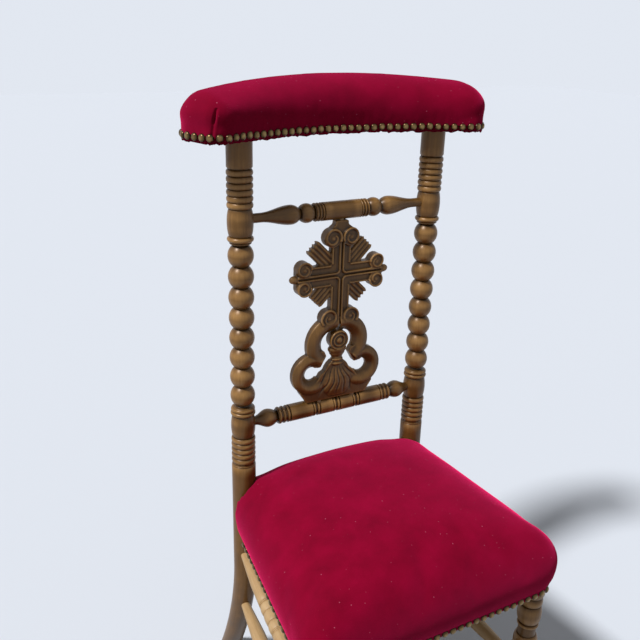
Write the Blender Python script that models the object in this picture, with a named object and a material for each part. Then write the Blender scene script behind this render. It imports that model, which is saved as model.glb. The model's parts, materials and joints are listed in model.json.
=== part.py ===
"""Prayer chair with turned posts, a carved cross splat, and a velvet seat and top rest.

Metres, +Z up. The chair faces -Y and is symmetric about X = 0. The posts stand on Y = 0 while the
pieces are modelled, and the last step moves the whole chair so that the centre of its box is on the
origin, with the feet on Z = 0.
"""

from math import atan, cos, degrees, pi, radians, sin, sqrt

import bmesh
import bpy
from mathutils import Matrix, Vector

# Clearances
GAP = 0.0003
SOCKET_END_GAP = 0.0010

# Posts
POST_SPACING = 0.315
POST_RADIUS = 0.0185
POST_SEGMENTS = 12
FILLET_HEIGHT = 0.4412
FILLET_RADIUS = 0.0176
FILLET_WIDTH = 0.003
RING_PITCH = 0.0089
RING_GROOVE_RADIUS = 0.0162
LOWER_RING_COUNT = 5
UPPER_RING_COUNT = 6
LOWER_BARREL_LENGTH = 0.037
UPPER_BARREL_LENGTH = 0.039
BARREL_END_RADIUS = 0.0156
LOWER_COLLAR_LENGTH = 0.0170
UPPER_COLLAR_LENGTH = 0.0125
BOBBIN_COUNT = 8
BOBBIN_PITCH = 0.031
BOBBIN_NECK_RADIUS = 0.0112
PLAIN_TOP_LENGTH = 0.0418
PLAIN_TOP_RADIUS = 0.0180
POST_TENON_RADIUS = 0.0090
POST_TENON_LENGTH = 0.014

# Rear legs, below the seat
LEG_BEND_HEIGHT = 0.245
LEG_SWEEP = 0.082
LEG_SWEEP_POWER = 1.6
LEG_SECTIONS = 8
FOOT_RADIUS = 0.0180

# Cross rails
RAIL_RADIUS = 0.0136
RAIL_GROOVE_RADIUS = 0.0117
RAIL_NECK_RADIUS = 0.0078
RAIL_VASE_RADIUS = 0.0140
RAIL_SEGMENTS = 10
RAIL_EDGE = 0.0008
RAIL_SHOULDER = 0.002
RAIL_TENON_RADIUS = 0.0064
RAIL_TENON_LENGTH = 0.012
UPPER_RAIL_RISE = 0.0228
UPPER_RAIL_CORE = 0.030
UPPER_RAIL_RING_PITCH = 0.005
UPPER_RAIL_BALL_LENGTH = 0.022
LOWER_RAIL_RISE = 0.0203
LOWER_RAIL_CORE = 0.081
LOWER_RAIL_PAIR_PLACE = 0.036
LOWER_RAIL_RING_PITCH = 0.007
END_RING_COUNT = 3

# Splat, a carved cross on a pierced base: places are (x, height) from the base's foot or the crossing
SPLAT_THICKNESS = 0.016
SPLAT_FORWARD = 0.004
STEM_THICKNESS = 0.015
ARM_THICKNESS = 0.0146
SCROLL_THICKNESS = 0.017
RAY_THICKNESS = 0.010
SPLAT_ARC_STEP = 26.0
SPLAT_FOOT_HALF = 0.052
SPLAT_NOTCH_HALF = 0.003
SPLAT_NOTCH_HEIGHT = 0.009
LOBE_CENTRE = Vector((0.044, 0.048))
LOBE_RADIUS = 0.034
LOBE_HOLE_CENTRE = Vector((0.042, 0.044))
LOBE_HOLE_RADIUS = 0.017
ARCH_CENTRE = Vector((0.008, 0.094))
ARCH_RADIUS = 0.046
ARCH_HOLE_RADIUS = 0.027
BASE_SCROLL_CENTRE = Vector((0.018, 0.138))
BASE_SCROLL_RADIUS = 0.015
ROSETTE_HEIGHT = 0.100
ROSETTE_RADIUS = 0.017
STAND_NECK_HALF = 0.010
STAND_NECK_HEIGHT = 0.063
STAND_NECK_LENGTH = 0.008
STEM_HALF = 0.0155
CROSSING_DROP = 0.0830
ARM_HALF = 0.017
ARM_SCROLL_REACH = 0.062
ARM_SCROLL_SPREAD = 0.0130
ARM_SCROLL_RADIUS = 0.0128
ARM_TIP_REACH = 0.085
ARM_TIP_ROOT = 0.0775
ARM_TIP_HALF = 0.0065
RAY_LENGTH = 0.0625
RAY_NOTCH = 0.0035
RAY_PITCH = 0.0066
RAY_COUNT = 4
TOP_SCROLL_CENTRE = Vector((0.015, 0.0570))
TOP_SCROLL_RADIUS = 0.0148
SPLAT_TOP_HALF = 0.009
SPLAT_TOP_NECK = 0.008
SPLAT_DOWEL_RADIUS = 0.004
SPLAT_DOWEL_DEPTH = 0.013
SPLAT_DOWEL_OFFSET = 0.030

# Top rest, with its pad's section as shares of the (bulge, shoulder, height, arch)
REST_OVERHANG = 0.070
REST_DEPTH = 0.088
REST_FRONT = 0.003
REST_BOW = 0.060
REST_FRONT_CORNER = 0.022
REST_REAR_CORNER = 0.040
REST_LEAST_CORNER = 0.006
REST_CORNER_STEPS = 4
REST_EDGE_STEPS = 10
REST_BOARD_THICKNESS = 0.020
REST_COVER_HEIGHT = 0.076
REST_ARCH = 0.016
REST_BULGE = 0.004
REST_SHOULDER = 0.030
REST_SECTION = (
    (0.85, 0.0, 0.35, 0.1), (1.0, 0.0, 0.56, 0.4), (0.0, 0.0, 0.77, 0.8),
    (0.0, 0.45, 0.92, 1.0), (0.0, 1.0, 1.0, 1.0),
)

# Seat, with its pad's sides as shares of the (bulge, shoulder, height, side dip) and its crown as shares
# of the (plan, height, side dip)
SEAT_OVERHANG = 0.0105
SEAT_FLARE = 0.111
SEAT_FRONT = 0.325
SEAT_REAR = 0.016
SEAT_CORNER_RADIUS = 0.026
SEAT_CORNER_STEPS = 5
SEAT_REAR_CORNER_RADIUS = 0.018
SEAT_REAR_CORNER_STEPS = 3
SEAT_EDGE_STEPS = 4
SEAT_UNDERSIDE = 0.304
SEAT_COVER_HEIGHT = 0.134
SEAT_SIDE_DIP = 0.016
SEAT_BULGE = 0.012
SEAT_SHOULDER = 0.018
SEAT_SIDES = (
    (0.7, 0.0, 0.26, 0.1), (1.0, 0.0, 0.56, 0.5), (0.0, 0.0, 0.76, 1.0), (0.0, 1.0, 0.87, 1.0),
)
SEAT_CROWN = ((0.76, 0.950, 1.0), (0.40, 0.992, 0.5), (0.08, 1.0, 0.0))
SEAT_CROWN_POWER = 3
SEAT_RAIL_HEIGHT = 0.056
SEAT_RAIL_THICKNESS = 0.024
SEAT_FRONT_RAIL_DEPTH = 0.044
CORNER_BLOCK_LEG = 0.045
CORNER_BLOCK_HEIGHT = 0.030
CORNER_BLOCK_CLIP = 0.010
FRAME_DOWEL_RADIUS = 0.005
FRAME_DOWEL_DEPTH = 0.012
FRAME_DOWEL_STAGGER = 0.013
PEG_SEGMENTS = 8
WEBBING_WIDTH = 0.050
WEBBING_SPREAD = 0.085
WEBBING_THICKNESS = 0.0015
WEBBING_MARGIN = 0.008

# Velvet and nails
COVER_THICKNESS = 0.0025
COVER_HEM = 0.012
COVER_SMOOTH_ANGLE = 60.0
NAIL_RADIUS = 0.0054
NAIL_HEIGHT = 0.0034
NAIL_LINK_RADIUS = 0.0012
NAIL_LINK_HEIGHT = 0.0009
REST_NAIL_SPACING = 0.0123
SEAT_NAIL_SPACING = 0.0135
NAIL_PLACE_MARGIN = 0.0001

# Front legs
FRONT_LEG_SETBACK = 0.026
FRONT_LEG_INSET = 0.0155
FRONT_LEG_RADIUS = 0.0185
FRONT_LEG_SHOULDER_RADIUS = 0.0174
FRONT_LEG_NECK_RADIUS = 0.0137
FRONT_LEG_ANKLE_RADIUS = 0.0104
FRONT_LEG_SEGMENTS = 12
FRONT_FOOT_HEIGHT = 0.028
FRONT_BLOCK_HALF = 0.016
FRONT_BLOCK_EASE = 0.008
FRONT_LEG_TENON_RADIUS = 0.0095
FRONT_LEG_TENON_LENGTH = 0.030

# Stretchers
UPPER_STRETCHER_HEIGHT = 0.2765
LOWER_STRETCHER_HEIGHT = 0.164
SIDE_STRETCHER_FALL = 0.025
UPPER_STRETCHER_OUTSET = 0.0045
LOWER_STRETCHER_OUTSET = 0.0005
FRONT_STRETCHER_HEIGHT = 0.195
BACK_STRETCHER_HEIGHT = 0.215
STRETCHER_RADIUS = 0.0116
STRETCHER_BEAD_RADIUS = 0.0122
STRETCHER_GROOVE_RADIUS = 0.0103
STRETCHER_BEAD_HALF = 0.0100
STRETCHER_RING_LENGTH = 0.0165
STRETCHER_SWELL_START = 0.0295
STRETCHER_SWELL_END = 0.072
STRETCHER_END_RADIUS = 0.0068
STRETCHER_TENON_LENGTH = 0.010
STRETCHER_SEGMENTS = 8

# Heights and half widths that follow from the sizes above
POST_X = POST_SPACING / 2
LOWER_BARREL_BASE = FILLET_HEIGHT + FILLET_WIDTH + LOWER_RING_COUNT * RING_PITCH
BOBBIN_BASE = LOWER_BARREL_BASE + LOWER_BARREL_LENGTH + LOWER_COLLAR_LENGTH
UPPER_COLLAR_BASE = BOBBIN_BASE + BOBBIN_COUNT * BOBBIN_PITCH
UPPER_BARREL_BASE = UPPER_COLLAR_BASE + UPPER_COLLAR_LENGTH
UPPER_RING_BASE = UPPER_BARREL_BASE + UPPER_BARREL_LENGTH
PLAIN_TOP_BASE = UPPER_RING_BASE + UPPER_RING_COUNT * RING_PITCH
REST_UNDERSIDE = PLAIN_TOP_BASE + PLAIN_TOP_LENGTH
UPPER_RAIL_HEIGHT = UPPER_BARREL_BASE + UPPER_RAIL_RISE
LOWER_RAIL_HEIGHT = LOWER_BARREL_BASE + LOWER_RAIL_RISE
RAIL_END = POST_X - POST_RADIUS + RAIL_TENON_LENGTH
SPLAT_BOTTOM = LOWER_RAIL_HEIGHT + RAIL_RADIUS + GAP
SPLAT_TOP = UPPER_RAIL_HEIGHT - RAIL_RADIUS - GAP
REST_HALF_LENGTH = POST_X + REST_OVERHANG
REST_MIDDLE = REST_DEPTH / 2 - REST_FRONT
REST_LEFT_END = -REST_CORNER_STEPS - 1
SEAT_RAIL_INSET = COVER_THICKNESS + GAP
SEAT_RAIL_BASE = SEAT_UNDERSIDE + GAP
SEAT_RAIL_TOP = SEAT_RAIL_BASE + SEAT_RAIL_HEIGHT
SEAT_NOTCH_RADIUS = POST_RADIUS + 3 * GAP
SEAT_SIDE_STOP = 0.6 * SEAT_NOTCH_RADIUS
SEAT_CENTRE = (SEAT_REAR - SEAT_FRONT) / 2
WEBBING_BASE = SEAT_RAIL_TOP + GAP
STUFFING_BASE = WEBBING_BASE + 2 * (WEBBING_THICKNESS + GAP)
FRONT_LEG_Y = FRONT_LEG_SETBACK - SEAT_FRONT
FRONT_LEG_X = POST_X + SEAT_OVERHANG - SEAT_FLARE * FRONT_LEG_Y - FRONT_LEG_INSET

PARTS = []


def finish(name, bm, material, sharp_angle=35.0):
    """Turn a bmesh into a named object of the chair."""
    bmesh.ops.recalc_face_normals(bm, faces=bm.faces)
    mesh = bpy.data.meshes.new(name)
    bm.to_mesh(mesh)
    bm.free()
    mesh.materials.append(material)
    mesh.shade_smooth()
    mesh.set_sharp_from_angle(angle=radians(sharp_angle))
    part = bpy.data.objects.new(name, mesh)
    bpy.context.collection.objects.link(part)
    PARTS.append(part)
    return part


def make_material(name, colour, roughness, metallic=0.0):
    """A plain Principled finish."""
    material = bpy.data.materials.new(name)
    material.use_nodes = True
    shader = material.node_tree.nodes["Principled BSDF"]
    shader.inputs["Base Color"].default_value = (*colour, 1.0)
    shader.inputs["Roughness"].default_value = roughness
    shader.inputs["Metallic"].default_value = metallic
    return material


def turned(profile, segments):
    """A closed turning about Z from (height, radius) pairs, lowest first."""
    bm = bmesh.new()
    chain = [(profile[0][0], 0.0), *profile, (profile[-1][0], 0.0)]
    verts = [bm.verts.new((radius, 0.0, height)) for height, radius in chain]
    edges = [bm.edges.new(pair) for pair in zip(verts, verts[1:])]
    bmesh.ops.spin(bm, geom=verts + edges, cent=(0, 0, 0), axis=(0, 0, 1), angle=2 * pi,
                   steps=segments, use_merge=True, use_duplicate=False)
    bmesh.ops.remove_doubles(bm, verts=bm.verts, dist=1e-6)
    return bm


def mirrored_profile(half):
    """A turning that is alike on both sides of its middle, from its outer half."""
    lower = [(-place, radius) for place, radius in reversed(half) if place > 0]
    return lower + list(half)


def prism(outline, base, top):
    """An upright solid over a plan outline of (x, y) points."""
    bm = bmesh.new()
    face = bm.faces.new([bm.verts.new((x, y, base)) for x, y in outline])
    grown = bmesh.ops.extrude_face_region(bm, geom=[face])
    lifted = [item for item in grown["geom"] if isinstance(item, bmesh.types.BMVert)]
    bmesh.ops.translate(bm, verts=lifted, vec=(0, 0, top - base))
    return bm


def skin(bm, loops):
    """Clothe loops of equally many points in triangles, all split the same way, and return the rings."""
    rings = [[bm.verts.new(point) for point in loop] for loop in loops]
    for lower, upper in zip(rings, rings[1:]):
        for i in range(len(lower)):
            j = (i + 1) % len(lower)
            bm.faces.new((lower[i], lower[j], upper[j]))
            bm.faces.new((lower[i], upper[j], upper[i]))
    return rings


def lofted(loops):
    """A closed solid through loops of equally many points, capped flat at both ends."""
    bm = bmesh.new()
    rings = skin(bm, loops)
    bm.faces.new(rings[0])
    bm.faces.new(rings[-1])
    return bm


def close_crown(bm, ring, first):
    """Close the top loop of a pad with a strip that starts between a point and the one before it."""
    count = len(ring)
    pairs = [(ring[(first + k) % count], ring[(first - 1 - k) % count]) for k in range(count // 2)]
    for (a, b), (c, d) in zip(pairs, pairs[1:]):
        bm.faces.new((a, c, d))
        bm.faces.new((a, d, b))


def pad(loops, first):
    """A stuffed pad through loops of equally many points, flat below and crowned above."""
    bm = bmesh.new()
    rings = skin(bm, loops)
    bm.faces.new(rings[0])
    close_crown(bm, rings[-1], first)
    return bm


def cloth_cover(outer, inner, first):
    """A cloth cover, open below: an outer surface, and an inner one a cloth's thickness inside it."""
    bm = bmesh.new()
    outside = skin(bm, outer)
    inside = skin(bm, inner)
    close_crown(bm, outside[-1], first)
    close_crown(bm, inside[-1], first)
    hem = zip(outside[0], outside[0][1:] + outside[0][:1], inside[0][1:] + inside[0][:1], inside[0])
    for corners in hem:
        bm.faces.new(corners)
    return bm


def rod(start, end, radius, segments=12):
    """A plain round bar between two points, as a bmesh."""
    bm = bmesh.new()
    run = Vector(end) - Vector(start)
    turn = run.to_track_quat("Z", "X").to_matrix().to_4x4()
    place = Matrix.Translation((Vector(start) + Vector(end)) / 2) @ turn
    bmesh.ops.create_cone(bm, cap_ends=True, segments=segments, radius1=radius, radius2=radius,
                          depth=run.length, matrix=place)
    return bm


def combine(part, bm, operation):
    """Join a closed bmesh to a part or subtract it, as a hidden shape."""
    bmesh.ops.recalc_face_normals(bm, faces=bm.faces)
    mesh = bpy.data.meshes.new(part.name + "_shape")
    bm.to_mesh(mesh)
    bm.free()
    shape = bpy.data.objects.new(part.name + "_shape", mesh)
    bpy.context.collection.objects.link(shape)
    shape.hide_render = True
    shape.display_type = "WIRE"
    boolean = part.modifiers.new(operation.lower(), "BOOLEAN")
    boolean.operation = operation
    boolean.solver = "EXACT"
    boolean.object = shape


def cut_round(part, start, end, radius, segments=12):
    """Drill a round hole in a part, between two points."""
    combine(part, rod(start, end, radius, segments), "DIFFERENCE")


def arc(centre, radius, start, end, count):
    """Points of a circular arc in so many steps, ends included, with its angles in degrees."""
    angles = [radians(start + (end - start) * i / count) for i in range(count + 1)]
    return [(centre[0] + radius * cos(a), centre[1] + radius * sin(a)) for a in angles]


def leg_sweep(height):
    """How far the rear leg's centre line lies behind the posts at a height."""
    drop = max(0.0, (LEG_BEND_HEIGHT - height) / LEG_BEND_HEIGHT)
    return LEG_SWEEP * drop ** LEG_SWEEP_POWER


def ringed(base, count):
    """A run of small turned rings, as (height, radius) pairs from one groove to the next."""
    pairs = [(base, RING_GROOVE_RADIUS)]
    for i in range(count):
        pairs.append((base + (i + 0.5) * RING_PITCH, POST_RADIUS))
        pairs.append((base + (i + 1) * RING_PITCH, RING_GROOVE_RADIUS))
    return pairs


def swelling(base, length, end_radius, radius, places=(0.2, 0.5, 0.8)):
    """A barrel or bobbin between two narrow ends, without its end points."""
    rise = radius - end_radius
    return [(base + length * t, end_radius + rise * sin(pi * t) ** 0.75) for t in places]


def post_profile():
    """The post above the leg's bend, as (height, radius) pairs from the leg to the tenon."""
    pairs = [(FILLET_HEIGHT - FILLET_WIDTH, POST_RADIUS), (FILLET_HEIGHT, FILLET_RADIUS)]
    pairs += ringed(FILLET_HEIGHT + FILLET_WIDTH, LOWER_RING_COUNT)
    pairs += swelling(LOWER_BARREL_BASE, LOWER_BARREL_LENGTH, BARREL_END_RADIUS, POST_RADIUS)
    collar = LOWER_BARREL_BASE + LOWER_BARREL_LENGTH
    pairs += [
        (collar, BARREL_END_RADIUS),
        (collar + 0.2 * LOWER_COLLAR_LENGTH, POST_RADIUS),
        (collar + 0.4 * LOWER_COLLAR_LENGTH, BARREL_END_RADIUS),
        (collar + 0.55 * LOWER_COLLAR_LENGTH, FILLET_RADIUS),
    ]
    for i in range(BOBBIN_COUNT):
        base = BOBBIN_BASE + i * BOBBIN_PITCH
        pairs.append((base, BOBBIN_NECK_RADIUS))
        pairs += swelling(base, BOBBIN_PITCH, BOBBIN_NECK_RADIUS, POST_RADIUS)
    pairs += [
        (UPPER_COLLAR_BASE, BOBBIN_NECK_RADIUS),
        (UPPER_COLLAR_BASE + 0.25 * UPPER_COLLAR_LENGTH, BARREL_END_RADIUS),
        (UPPER_COLLAR_BASE + 0.65 * UPPER_COLLAR_LENGTH, POST_RADIUS),
        (UPPER_BARREL_BASE, BARREL_END_RADIUS),
    ]
    pairs += swelling(UPPER_BARREL_BASE, UPPER_BARREL_LENGTH, BARREL_END_RADIUS, POST_RADIUS)
    pairs += ringed(UPPER_RING_BASE, UPPER_RING_COUNT)
    pairs += [
        (PLAIN_TOP_BASE + FILLET_WIDTH, PLAIN_TOP_RADIUS),
        (REST_UNDERSIDE - GAP, PLAIN_TOP_RADIUS),
        (REST_UNDERSIDE - GAP, POST_TENON_RADIUS),
        (REST_UNDERSIDE + POST_TENON_LENGTH, POST_TENON_RADIUS),
    ]
    return pairs


def post(name, side, material):
    """A rear leg and back post in one piece: swept below the bend, turned above it."""
    sections = []
    for i in range(LEG_SECTIONS):
        height = LEG_BEND_HEIGHT * i / LEG_SECTIONS
        share = i / LEG_SECTIONS
        sections.append((height, FOOT_RADIUS + (POST_RADIUS - FOOT_RADIUS) * share))
    sections.append((LEG_BEND_HEIGHT, POST_RADIUS))
    sections += post_profile()
    loops = []
    for height, radius in sections:
        middle = Vector((0, leg_sweep(height), height))
        steps = [2 * pi * i / POST_SEGMENTS for i in range(POST_SEGMENTS)]
        loops.append([middle + Vector((radius * cos(a), radius * sin(a), 0)) for a in steps])
    part = finish(name, lofted(loops), material)
    part.location.x = side * POST_X
    return part


def rail_rings(base, count, pitch):
    """Turned rings of a rail, as (place, radius) pairs from one groove to the next."""
    pairs = [(base, RAIL_GROOVE_RADIUS)]
    for i in range(count):
        pairs.append((base + (i + 0.5) * pitch, RAIL_RADIUS))
        pairs.append((base + (i + 1) * pitch, RAIL_GROOVE_RADIUS))
    return pairs


def rail_vase(base, bulge):
    """A rail's end from its neck to its tenon: a vase given as (share of length, share of swelling)."""
    length = POST_X - POST_RADIUS - RAIL_SHOULDER - base
    rise = RAIL_VASE_RADIUS - RAIL_NECK_RADIUS
    pairs = [(base + share * length, RAIL_NECK_RADIUS + swell * rise) for share, swell in bulge]
    return pairs + [(base + length, RAIL_TENON_RADIUS), (RAIL_END, RAIL_TENON_RADIUS)]


def upper_rail_half():
    """Outer half of the upper cross rail, as (place, radius) pairs from its middle."""
    pairs = [(0.0, RAIL_RADIUS), (UPPER_RAIL_CORE - RAIL_EDGE, RAIL_RADIUS)]
    pairs += rail_rings(UPPER_RAIL_CORE, END_RING_COUNT, UPPER_RAIL_RING_PITCH)
    ball = UPPER_RAIL_CORE + END_RING_COUNT * UPPER_RAIL_RING_PITCH
    pairs += swelling(ball, UPPER_RAIL_BALL_LENGTH, RAIL_NECK_RADIUS, RAIL_VASE_RADIUS)
    bulge = ((0.0, 0.0), (0.06, 0.55), (0.18, 1.0), (0.32, 0.9), (0.55, 0.42), (0.82, 0.0))
    return pairs + rail_vase(ball + UPPER_RAIL_BALL_LENGTH, bulge)


def lower_rail_half():
    """Outer half of the lower cross rail, as (place, radius) pairs from its middle."""
    pitch = LOWER_RAIL_RING_PITCH
    pairs = rail_rings(0.0, 1, pitch) + [(pitch + RAIL_EDGE, RAIL_RADIUS)]
    pairs.append((LOWER_RAIL_PAIR_PLACE - pitch - RAIL_EDGE, RAIL_RADIUS))
    pairs += rail_rings(LOWER_RAIL_PAIR_PLACE - pitch, 2, pitch)
    pairs.append((LOWER_RAIL_PAIR_PLACE + pitch + RAIL_EDGE, RAIL_RADIUS))
    pairs.append((LOWER_RAIL_CORE - RAIL_EDGE, RAIL_RADIUS))
    pairs += rail_rings(LOWER_RAIL_CORE, END_RING_COUNT, pitch)
    bulge = ((0.07, 0.0), (0.20, 0.65), (0.38, 1.0), (0.58, 0.83), (0.78, 0.24))
    return pairs + rail_vase(LOWER_RAIL_CORE + END_RING_COUNT * pitch, bulge)


def cross_rail(name, half, height, material):
    """A turned rail between the posts, lying along X."""
    part = finish(name, turned(mirrored_profile(half), RAIL_SEGMENTS), material)
    part.rotation_euler.y = pi / 2
    part.location.z = height
    return part


def carved_arc(centre, radius, start, end):
    """An arc of the splat's outline, in steps of about one set angle."""
    return arc(centre, radius, start, end, max(2, round(abs(end - start) / SPLAT_ARC_STEP)))


def ray_ends(rise):
    """Stepped ends of the rays in one quarter, from the arm round to the stem, rise being 1 or -1."""
    half = RAY_COUNT * RAY_PITCH / 2
    ends = []
    for i in range(RAY_COUNT):
        near = half - i * RAY_PITCH
        ends += [(RAY_LENGTH, near), (RAY_LENGTH - RAY_NOTCH, near - RAY_PITCH / 2)]
    ends = [(0.0, half), *ends, (0.0, -half)]
    slant = sqrt(0.5)
    return [Vector((slant * (u + v), rise * slant * (u - v))) for u, v in ends]


def splat_base_half():
    """Right half of the splat's scrolled base, bottom to top, as (x, height) from its bottom edge."""
    base = [(0.0, SPLAT_NOTCH_HEIGHT), (SPLAT_NOTCH_HALF, 0.0), (SPLAT_FOOT_HALF, 0.0)]
    base += carved_arc(LOBE_CENTRE, LOBE_RADIUS, -58, 76)
    return base + carved_arc(ARCH_CENTRE, ARCH_RADIUS, -12, 80)


def splat_layers():
    """Plates that are joined to the base, as (outline, thickness), with heights from its bottom edge."""
    top = SPLAT_TOP - SPLAT_BOTTOM
    crossing = top - CROSSING_DROP
    stem = [(STEM_HALF, ARCH_CENTRE.y + ARCH_HOLE_RADIUS), (STEM_HALF, crossing + TOP_SCROLL_CENTRE.y)]
    stem += [(SPLAT_TOP_HALF, top - SPLAT_TOP_NECK), (SPLAT_TOP_HALF, top)]
    arm = [(ARM_SCROLL_REACH, -ARM_HALF), (ARM_TIP_ROOT, -ARM_TIP_HALF), (ARM_TIP_REACH, 0.0)]
    arm += [(x, -rise) for x, rise in reversed(arm[:-1])]
    arm = [(x, crossing + rise) for x, rise in arm]
    layers = [(outline + mirrored(outline), thickness)
              for outline, thickness in ((stem, STEM_THICKNESS), (arm, ARM_THICKNESS))]
    rounds = [(BASE_SCROLL_CENTRE, BASE_SCROLL_RADIUS)]
    rounds.append((TOP_SCROLL_CENTRE + Vector((0.0, crossing)), TOP_SCROLL_RADIUS))
    for spread in (-ARM_SCROLL_SPREAD, ARM_SCROLL_SPREAD):
        rounds.append((Vector((ARM_SCROLL_REACH, crossing + spread)), ARM_SCROLL_RADIUS))
    sides = [(carved_arc(centre, radius, 0, 360)[:-1], SCROLL_THICKNESS) for centre, radius in rounds]
    for rise in (-1, 1):
        rays = [(x, crossing + height) for x, height in ray_ends(rise)]
        sides.append((rays, RAY_THICKNESS))
    for outline, thickness in sides:
        layers += [(outline, thickness), (mirrored(outline), thickness)]
    return layers


def mirrored(outline):
    """An outline turned over to the other side of X = 0."""
    return [(-x, height) for x, height in reversed(outline)]


def splat_opening():
    """The right-hand piercing of the base, round the rosette and its stand."""
    points = carved_arc(ARCH_CENTRE, ARCH_HOLE_RADIUS, 80, -32)
    points += carved_arc(LOBE_HOLE_CENTRE, LOBE_HOLE_RADIUS, 118, -170)
    points += [
        (STAND_NECK_HALF, STAND_NECK_HEIGHT),
        (STAND_NECK_HALF, STAND_NECK_HEIGHT + STAND_NECK_LENGTH),
    ]
    return points + carved_arc((0.0, ROSETTE_HEIGHT), ROSETTE_RADIUS, -50, 55)


def upright_plate(outline, thickness):
    """A plate standing in the XZ plane, centred on the splat's own plane."""
    bm = bmesh.new()
    front = -SPLAT_FORWARD - thickness / 2
    face = bm.faces.new([bm.verts.new((x, front, height)) for x, height in outline])
    grown = bmesh.ops.extrude_face_region(bm, geom=[face])
    moved = [item for item in grown["geom"] if isinstance(item, bmesh.types.BMVert)]
    bmesh.ops.translate(bm, verts=moved, vec=(0, thickness, 0))
    return bm


def cross_splat(material):
    """The carved splat: a pierced base, with the stem, arms, scrolls and rays of the cross joined on."""
    right = splat_base_half()
    outline = right + mirrored(right[1:])
    part = finish("cross_splat", upright_plate(outline, SPLAT_THICKNESS), material, 30.0)
    part.location.z = SPLAT_BOTTOM
    shapes = [(outline, thickness, "UNION") for outline, thickness in splat_layers()]
    for opening in (splat_opening(), mirrored(splat_opening())):
        shapes.append((opening, 2 * SPLAT_THICKNESS, "DIFFERENCE"))
    for outline, thickness, operation in shapes:
        raised = [(x, SPLAT_BOTTOM + height) for x, height in outline]
        combine(part, upright_plate(raised, thickness), operation)
    return part


def bowed(x, y):
    """A point of the straight rest, moved to the bowed one, whose ends stay square to its bow."""
    slope = 2 * REST_BOW * x / REST_HALF_LENGTH ** 2
    stretch = sqrt(1 + slope ** 2)
    return (x + y * slope / stretch, REST_MIDDLE + y / stretch - REST_BOW * (x / REST_HALF_LENGTH) ** 2)


def rest_outline(inset):
    """Plan of the bowed top rest, drawn in by an inset."""
    half = REST_HALF_LENGTH - inset
    deep = REST_DEPTH / 2 - inset
    front = max(REST_FRONT_CORNER - inset, REST_LEAST_CORNER)
    rear = max(REST_REAR_CORNER - inset, REST_LEAST_CORNER)
    steps = REST_CORNER_STEPS
    shares = [2 * i / REST_EDGE_STEPS - 1 for i in range(1, REST_EDGE_STEPS)]
    flat = [((half - front) * share, -deep) for share in shares]
    flat += arc((half - front, front - deep), front, -90, 0, steps)
    flat += arc((half - rear, deep - rear), rear, 0, 90, steps)
    flat += [((rear - half) * share, deep) for share in shares]
    flat += arc((rear - half, deep - rear), rear, 90, 180, steps)
    flat += arc((front - half, front - deep), front, 180, 270, steps)
    return [bowed(x, y) for x, y in flat]


def rest_loops(inset, drop):
    """Cover loops of the top rest, hem to crown, drawn in and lowered for an inner surface."""
    hem = [[(x, y, REST_UNDERSIDE + rise) for x, y in rest_outline(inset)] for rise in (0.0, COVER_HEM)]
    loops = []
    for bulge, shoulder, share, arched in REST_SECTION:
        draw = shoulder * REST_SHOULDER - bulge * REST_BULGE
        height = REST_UNDERSIDE + share * REST_COVER_HEIGHT - drop
        arch = arched * REST_ARCH / REST_HALF_LENGTH ** 2
        loops.append([(x, y, height - arch * x * x) for x, y in rest_outline(draw + inset)])
    return hem + loops


def seat_outline(inset, rear_inset):
    """Plan of the seat, drawn in at its front and sides, and at its rear."""
    slant = sqrt(1 + SEAT_FLARE ** 2)
    lean = degrees(atan(SEAT_FLARE))
    half = POST_X + SEAT_OVERHANG - inset * slant
    radius = max(SEAT_CORNER_RADIUS - inset, SEAT_REAR_CORNER_RADIUS)
    front_y = inset - SEAT_FRONT + radius
    front_x = half - SEAT_FLARE * front_y - radius * slant
    rear_y = SEAT_REAR - rear_inset - SEAT_REAR_CORNER_RADIUS
    rear_x = half - SEAT_FLARE * rear_y - SEAT_REAR_CORNER_RADIUS * slant
    steps = SEAT_EDGE_STEPS
    right = [(front_x * i / steps, front_y - radius) for i in range(steps)]
    right += arc((front_x, front_y), radius, -90, lean, SEAT_CORNER_STEPS)
    rear = arc((rear_x, rear_y), SEAT_REAR_CORNER_RADIUS, lean, 90, SEAT_REAR_CORNER_STEPS)
    side_start, side_end = Vector(right[-1]), Vector(rear[0])
    right += [tuple(side_start.lerp(side_end, i / steps)) for i in range(1, steps)]
    right += rear
    right += [(rear_x * i / steps, rear[-1][1]) for i in range(steps - 1, 0, -1)]
    left = [(-x, y) for x, y in reversed(right) if x > 0]
    return right + [(0.0, rear[-1][1])] + left


def seat_nail_run():
    """Plan line of the nails along the front and both sides of the seat, from post to post."""
    notch = sqrt(max(SEAT_NOTCH_RADIUS ** 2 - SEAT_OVERHANG ** 2, 0.0))
    stop = -max(notch, SEAT_SIDE_STOP) - COVER_THICKNESS
    right = [(x, y) for x, y in seat_outline(0.0, 0.0) if x >= 0 and y < stop - NAIL_RADIUS]
    right.append((seat_half_width(stop), stop))
    return [(-x, y) for x, y in reversed(right[1:])] + right


def seat_crown(outline, share):
    """A plain rounded loop inside the seat's plan, with one point for each point of its outline."""
    wide = share * seat_half_width(SEAT_CENTRE)
    deep = share * (SEAT_FRONT + SEAT_REAR) / 2
    power = SEAT_CROWN_POWER
    loop = []
    for x, y in outline:
        reach = (abs(x / wide) ** power + abs((y - SEAT_CENTRE) / deep) ** power) ** (1 / power)
        loop.append((x / reach, SEAT_CENTRE + (y - SEAT_CENTRE) / reach))
    return loop


def dipped(outline, height, dip):
    """A loop of the seat's pad at a height, lowered towards both sides."""
    half = seat_half_width(SEAT_CENTRE)
    return [(x, y, height - dip * SEAT_SIDE_DIP * abs(x / half) ** SEAT_CROWN_POWER) for x, y in outline]


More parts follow.
